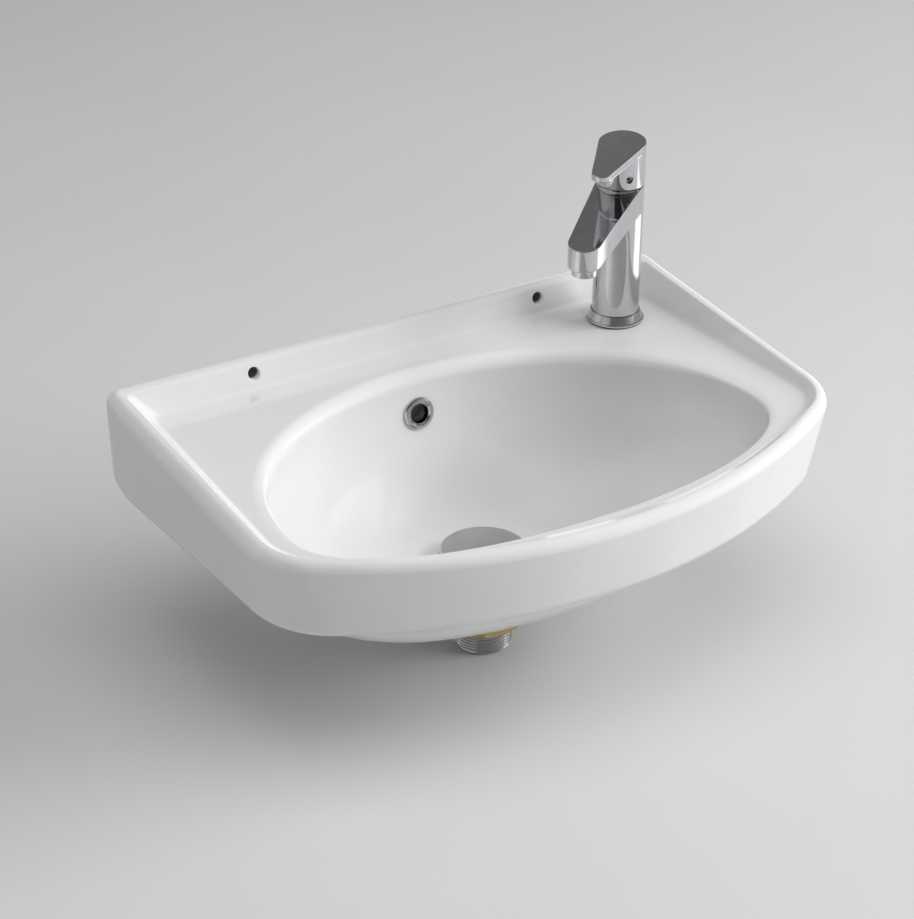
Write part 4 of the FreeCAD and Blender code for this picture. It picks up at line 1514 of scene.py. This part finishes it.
    def build_handle(self) -> None:
        """Model the lever handle and cut its grub screw hole."""
        drop = Teardrop(self.body_r, self.lever_tip, self.lever_reach)
        sections = [self._handle_section(*pair) for pair in drop.stations()]
        piece = self.bench.loft("tap_handle_chrome", sections, capped=True)
        out = on_round(Vector((0.0, 0.0)), 1.0, math.radians(self.grub_turn))
        start, end, mouth = (lifted(out * r, self.grub_high) for r in (*self.grub_run, self.body_r))
        self.bench.cut(piece, self.bench.bar("grub_hole", self.grub_r, start, end, self.grub_steps))
        self.bench.ease_mouth(piece, mouth, *self.grub_mouth)
        self.bench.done(piece, "tap_handle", "lever", Slot.CHROME, self.place)

    def build_foot(self) -> None:
        """Turn the flared base ring."""
        inner, low, step = self.body_r + self.fit, self.foot, self.base_step
        profile = [
            (inner, self.base_high), (inner, low), (self.base_r, low), (self.base_r, low + self.base_edge),
            (self.base_r - step[0], low + step[1]), (inner + self.base_lip, self.base_high),
            (inner, self.base_high)]
        piece = self.bench.turn("tap_base_ring_chrome", profile, self.base_rounds, self.base_steps)
        self.bench.done(piece, "tap_base_ring", "fixed", Slot.CHROME, self.place)

    def build_aerator(self) -> None:
        """Turn the aerator's housing and its ribbed insert."""
        foot, shoulder, top = self.aerator_foot, self.aerator_shoulder, self.aerator_top
        outer, neck, bore = self.aerator_r, self.aerator_neck, self.aerator_bore
        profile = [(bore, foot), (outer, foot), (outer, shoulder), (neck, shoulder), (neck, top), (bore, top),
                   (bore, foot)]
        housing = self.bench.turn("aerator_housing_chrome", profile, self.aerator_rounds, self.ring_steps)
        self.bench.done(housing, "aerator_housing", "fixed", Slot.CHROME, self.tip)
        low, floor, radius = self.insert_low, self.insert_low + self.rib_deep, self.insert_r
        profile = [(0.0, floor)]
        for k in range(1, self.insert_ribs + 1):
            near = radius * (k - 0.5) / (self.insert_ribs + 0.5)
            rise, crest, fall = (near + run for run in self.rib_runs)
            profile += [(near, floor), (rise, low), (crest, low), (fall, floor)]
        profile += [(radius, floor), (radius, self.insert_top), (0.0, self.insert_top)]
        rounds = [0.0] + [self.rib_round] * (len(profile) - 2) + [0.0]
        insert = self.bench.turn("aerator_insert_ribbed", profile, rounds, self.insert_steps,
                                 self.insert_bend)
        self.bench.done(insert, "aerator_insert", "fixed", Slot.PLASTIC, self.tip)

    def build_fixing(self) -> None:
        """Model the threaded shank, its washer and its nut below the deck."""
        core, bore, root, lap = self.shank_core, self.shank_bore, self.shank_root, self.thread_lap
        foot, top, hole = self.shank_foot, self.thread_top, self.shank_core + self.fit
        profile = [(bore, foot), (root, foot), (root, top), (core, top), (core, self.shank_in),
                   (bore, self.shank_in), (bore, foot)]
        shank = self.bench.turn("tap_shank_turned", profile, self.shank_rounds, self.shank_steps)
        self.bench.join(shank, self.bench.thread("shank_thread", self.shank_r, root - lap, self.thread_pitch,
                                                 foot + lap, top, self.thread_steps))
        self.bench.done(shank, "tap_shank", "fixed", Slot.BRASS, self.place)
        washer = self.bench.washer("tap_fixing_washer_moulded", hole, self.washer_r, self.nut_top,
                                   self.washer_top, self.washer_ease, self.ring_steps)
        self.bench.done(washer, "tap_fixing_washer", "fixed", Slot.PLASTIC, self.place)
        nut = self.bench.hexagon("tap_fixing_nut_hexagon", self.nut_r, hole, self.nut_low, self.nut_top)
        self.bench.done(nut, "tap_fixing_nut", "fixed", Slot.BRASS, self.place)

    def build(self) -> None:
        """Build every piece of the tap that can be seen."""
        self.build_body()
        self.build_handle()
        self.build_foot()
        self.build_aerator()
        self.build_fixing()


@dataclass
class Waste:
    """The click waste: flanged body, seals, back nut and the flat plug. Heights are from the bowl's floor."""

    bench: Bench
    basin: Basin
    # Body, flange and thread
    core_r: float = 0.02045
    thread_r: float = 0.02095
    root_r: float = 0.01945
    thread_lap: float = 0.0005
    thread_pitch: float = 0.002309
    thread_ease: float = 0.0006
    bore_r: float = 0.017
    mouth_r: float = 0.0225
    flange_r: float = 0.0315
    flange_thick: float = 0.003
    body_rounds: tuple[float, ...] = (0.0, 0.0012, 0.0003, 0.0, 0.0, 0.0, 0.0004, 0.0004, 0.002, 0.0)
    # Overflow slots and cross web
    slot_z: float = -0.0155
    slot_size: Triple = (0.06, 0.008, 0.011)
    web_arms: int = 4
    web_low: float = -0.056
    web_high: float = -0.050
    web_thick: float = 0.005
    web_lap: float = 0.0008
    hub_r: float = 0.009
    hub_bore: float = 0.0061
    hub_ease: float = 0.0006
    hub_lap: float = 0.0002
    hub_steps: int = 48
    # Seal, washer, back nut and the tail below them
    fit: float = 0.0001
    seal_thick: float = 0.004
    seal_ease: float = 0.0014
    washer_thick: float = 0.002
    washer_ease: float = 0.0006
    nut_high: float = 0.008
    thread_start: float = 0.0015
    tail_long: float = 0.0165
    under_r: float = 0.031
    nut_r: float = 0.029
    # Plug
    plug_r: float = 0.0307
    plug_thick: float = 0.0045
    plug_lift: float = 0.011
    crown_share: float = 0.6
    crown_drops: Pair = (0.0001, 0.0005)
    stem_hub_r: float = 0.006
    stem_hub_long: float = 0.008
    socket_r: float = 0.0031
    socket_roof: float = 0.002
    plug_rounds: tuple[float, ...] = (0.0, 0.05, 0.0011, 0.0004, 0.0008, 0.0004, 0.0, 0.0, 0.0)
    plug_steps: int = 128
    plug_bend: int = 5

    @property
    def place(self) -> Matrix:
        """Return the waste's place, level with the bowl's floor."""
        return Matrix.Translation(lifted(self.basin.waste, self.basin.floor_z))

    @property
    def nut_foot(self) -> float:
        """Return the back nut's underside."""
        return -self.basin.boss_deep - self.seal_thick - self.washer_thick - self.nut_high

    def build_body(self) -> None:
        """Turn the flanged body, cut its overflow slots and wind the thread on its tail."""
        thread, root, lap = self.nut_foot - self.thread_start, self.root_r, self.thread_lap
        tail = thread - self.tail_long
        profile = [
            (self.mouth_r, 0.0), (self.flange_r, 0.0), (self.flange_r, -self.flange_thick),
            (self.core_r, -self.flange_thick), (self.core_r, thread), (root, thread), (root, tail),
            (self.bore_r, tail), (self.bore_r, self.bore_r - self.mouth_r), (self.mouth_r, 0.0)]
        piece = self.bench.turn("waste_body_chrome", profile, self.body_rounds)
        for turn in (0.0, QUARTER_TURN):
            place = Matrix.Translation((0, 0, self.slot_z)) @ Matrix.Rotation(turn, 4, "Z")
            self.bench.cut(piece, self.bench.block("slot", place, self.slot_size))
        winding = self.bench.thread("tail_thread", self.thread_r, root - lap, self.thread_pitch,
                                    tail + self.thread_ease, thread)
        self.bench.join(piece, winding, self._web())
        self.bench.done(piece, "waste_body", "fixed", Slot.CHROME, self.place)

    def _web(self) -> Piece:
        """Model the cross web with its hub, which holds the click cartridge in the tube.

        Returns:
            The web, on the Z axis.
        """
        low, high, hub = self.web_low, self.web_high, self.hub_r
        web = self.bench.washer("web_hub", self.hub_bore, hub, low, high, self.hub_ease, self.hub_steps)
        reach = self.bore_r + self.web_lap - hub
        middle = Matrix.Translation((hub + reach / 2 - self.hub_lap, 0, (low + high) / 2))
        size = (reach, self.web_thick, high - low)
        for k in range(self.web_arms):
            turned = Matrix.Rotation(FULL_TURN * k / self.web_arms, 4, "Z")
            self.bench.join(web, self.bench.block("web", turned @ middle, size))
        return web

    def build_under(self) -> None:
        """Turn the seal and the washer under the boss and model the back nut."""
        hole, top = self.core_r + self.fit, -self.basin.boss_deep
        for node, thick, slot, ease in (
                ("waste_lower_seal", self.seal_thick, Slot.RUBBER, self.seal_ease),
                ("waste_friction_washer", self.washer_thick, Slot.PLASTIC, self.washer_ease)):
            ring = self.bench.washer(node + "_turned", hole, self.under_r, top - thick, top, ease)
            self.bench.done(ring, node, "fixed", slot, self.place)
            top -= thick
        nut = self.bench.hexagon("waste_back_nut_hexagon", self.nut_r, hole, self.nut_foot, top)
        self.bench.done(nut, "waste_back_nut", "fixed", Slot.BRASS, self.place)

    def build_plug(self) -> None:
        """Turn the flat plug with its slightly crowned top and its hub."""
        top, under = self.plug_lift, self.plug_lift - self.plug_thick
        hub, foot, socket = self.stem_hub_r, under - self.stem_hub_long, under - self.socket_roof
        profile = [
            (0.0, top), (self.plug_r * self.crown_share, top - self.crown_drops[0]),
            (self.plug_r, top - self.crown_drops[1]), (self.plug_r, under), (hub, under), (hub, foot),
            (self.socket_r, foot), (self.socket_r, socket), (0.0, socket)]
        piece = self.bench.turn("waste_plug_satin", profile, self.plug_rounds, self.plug_steps,
                                self.plug_bend)
        self.bench.done(piece, "waste_plug", "plug", Slot.SATIN, self.place)

    def build(self) -> None:
        """Build every piece of the waste that can be seen."""
        self.build_body()
        self.build_under()
        self.build_plug()


@dataclass
class CadPieces:
    """The CAD nodes. Those that no new piece replaces sit inside or between others and keep their shape."""

    finishes: Finishes

    def dress(self) -> None:
        """Give each node the finish of its slot."""
        for part in frame["record"]["subparts"]:
            slot = Slot(part["material_slot"])
            self.finishes.dress(frame["nodes"][part["node"]], slot)
            LOG.info("%s: %s", part["node"], slot.value)


@dataclass
class PhotoCamera:
    """The camera that saw the object, recovered from its outline."""

    focal_px: float = 2449.0
    frame_px: tuple[int, int] = (914, 919)
    sensor: float = 36.0
    azimuth: float = -32.459
    elevation: float = 28.9985
    roll: float = 0.5956
    distance: float = 1.6245
    aim: Vector = Vector((-0.05284, -0.17772, -0.011))

    def build(self) -> None:
        """Add the camera and make it the scene's own."""
        turn, rise, roll = (math.radians(v) for v in (self.azimuth, self.elevation, self.roll))
        back = Vector((math.sin(turn) * math.cos(rise), -math.cos(turn) * math.cos(rise), math.sin(rise)))
        right = Vector((math.cos(turn), math.sin(turn), 0.0))
        up = back.cross(right)
        turned = Matrix.Rotation(roll, 3, back)
        right, up = turned @ right, turned @ up
        data = bpy.data.cameras.new("photo_camera")
        data.sensor_width = self.sensor
        data.lens = self.focal_px * self.sensor / max(self.frame_px)
        camera = linked("photo_camera", data)
        place = Matrix((right, up, back)).transposed().to_4x4()
        place.translation = self.aim + back * self.distance
        camera.matrix_world = place
        bpy.context.scene.camera = camera


@dataclass(frozen=True)
class Softbox:
    """One soft studio lamp, aimed at the basin."""

    name: str
    place: Triple
    size: Pair
    watts: float
    aim: Triple = (0.0, -0.15, 0.0)

    def build(self) -> None:
        """Add the lamp."""
        data = bpy.data.lights.new(self.name, "AREA")
        data.shape = "RECTANGLE"
        data.size, data.size_y = self.size
        data.energy = self.watts
        lamp = linked(self.name, data)
        run = Vector(self.place) - Vector(self.aim)
        lamp.matrix_world = Matrix.Translation(self.place) @ run.to_track_quat("Z", "Y").to_matrix().to_4x4()
        lamp.visible_glossy = False


@dataclass(frozen=True)
class Patch:
    """A soft patch of the surround: its heading, the cosines of its rim and core, and its level."""

    heading: Triple
    rim: float
    core: float
    level: float

    def light(self, graph: Graph) -> Value:
        """Return the patch's level in the surround, which fades from its core to its rim."""
        return self.level * graph.share(graph.facing(self.heading), self.rim, self.core)


@dataclass(frozen=True)
class Reflector:
    """A bright card beside the basin, which only polished surfaces see."""

    name: str = "reflector_card"
    centre: Triple = (0.40, -0.158, -0.05)
    long: float = 0.225
    high: float = 0.10
    level: float = 1.6

    def build(self) -> None:
        """Stand the card upright, facing along X."""
        card = added(self.name, bpy.ops.mesh.primitive_plane_add, size=1.0)
        sides = Matrix.Diagonal((1.0, self.long, self.high)).to_4x4()
        card.data.transform(Matrix.Translation(self.centre) @ sides @ Matrix.Rotation(QUARTER_TURN, 4, "Y"))
        material, graph = blank_material(self.name)
        glow = graph.node("ShaderNodeEmission", {}, {"Strength": self.level})
        graph.node("ShaderNodeOutputMaterial", {}, {"Surface": glow})
        card.data.materials.append(material)
        card.visible_camera = card.visible_diffuse = card.visible_shadow = card.visible_transmission = False


@dataclass
class Studio:
    """The plain pale floor, the soft lamps and the surrounding light."""

    floor_half: float = 9.0
    floor_colour: Colour = (0.66, 0.665, 0.67, 1.0)
    floor_tone: Grain = Grain(3.0, 3.0)
    floor_shade: float = 0.97
    floor_rough: float = 0.75
    floor_gloss: float = 0.2
    lamps: tuple[Softbox, ...] = (
        Softbox("key_right", (2.45, -1.55, 1.20), (2.0, 2.0), 94.0),
        Softbox("top_soft", (-0.35, -0.8, 2.45), (2.2, 2.0), 27.0),
    )
    panels: tuple[Patch, ...] = (
        Patch((1.0, -0.35, 0.15), 0.90, 0.99, 0.9),
        Patch((-0.95, -0.35, 0.12), 0.93, 0.99, 0.35),
        Patch((0.60, 0.78, 0.10), 0.970, 0.992, 1.3),
        Patch((-0.60, 0.35, 0.72), 0.80, 0.98, 0.45),
    )
    levels: tuple[Pair, ...] = ((0.48, 0.95), (0.58, 0.80), (0.70, 0.42), (0.83, 0.20), (1.0, 0.45))
    dimmed: Patch = Patch((-0.5, -0.86, 0.0), 0.1, 0.9, 0.68)
    strength: float = 0.77

    def build(self) -> None:
        """Add the floor, the lamps and the world."""
        self._lay_floor()
        for lamp in self.lamps:
            lamp.build()
        Reflector().build()
        self._surround()

    def _lay_floor(self) -> None:
        """Lay a floor that is seen through from below."""
        floor = added("studio_floor", bpy.ops.mesh.primitive_plane_add, size=2 * self.floor_half,
                      location=(0.0, 0.0, CAD_BOX[0].z))
        material, graph = blank_material("pale_floor")
        darker = (*(self.floor_shade * c for c in self.floor_colour[:3]), 1.0)
        paint = graph.node("ShaderNodeBsdfPrincipled", {}, {
            "Base Color": graph.tones(graph.noise(self.floor_tone), darker, self.floor_colour),
            "Roughness": self.floor_rough, "Specular IOR Level": self.floor_gloss})
        below = graph.node("ShaderNodeNewGeometry", output="Backfacing")
        clear = graph.node("ShaderNodeBsdfTransparent")
        both = graph.node("ShaderNodeMixShader", {}, {0: below, 1: paint, 2: clear})
        graph.node("ShaderNodeOutputMaterial", {}, {"Surface": both})
        floor.data.materials.append(material)

    def _surround(self) -> None:
        """Write the world's light: paler low down, dimmed on the camera's side, with soft panels."""
        world = bpy.data.worlds.new("studio_surround")
        world.use_nodes = True
        bpy.context.scene.world = world
        graph = Graph(world.node_tree)
        rise = graph.facing((0.0, 0.0, 1.0)) * 0.5 + 0.5
        shade = graph.ramp(rise, [(place, grey(level)) for place, level in self.levels])
        light = graph.node("ShaderNodeRGBToBW", {}, {"Color": shade}) * (1.0 - self.dimmed.light(graph))
        for panel in self.panels:
            light = light + panel.light(graph)
        shine = graph.node("ShaderNodeBackground", {}, {"Color": light, "Strength": self.strength})
        graph.node("ShaderNodeOutputWorld", {}, {"Surface": shine})


def main() -> None:
    """Build the washbasin, its finishes, the studio and the camera."""
    logging.basicConfig(level=logging.INFO, format="%(name)s: %(message)s")
    bpy.context.scene.view_settings.view_transform = "Standard"
    finishes = Finishes()
    CadPieces(finishes).dress()
    bench = Bench(finishes)
    basin = Basin(bench)
    basin.build()
    OverflowRing(bench, basin).build()
    Tap(bench, basin).build()
    Waste(bench, basin).build()
    Studio().build()
    PhotoCamera().build()


if __name__ == "__main__":
    main()
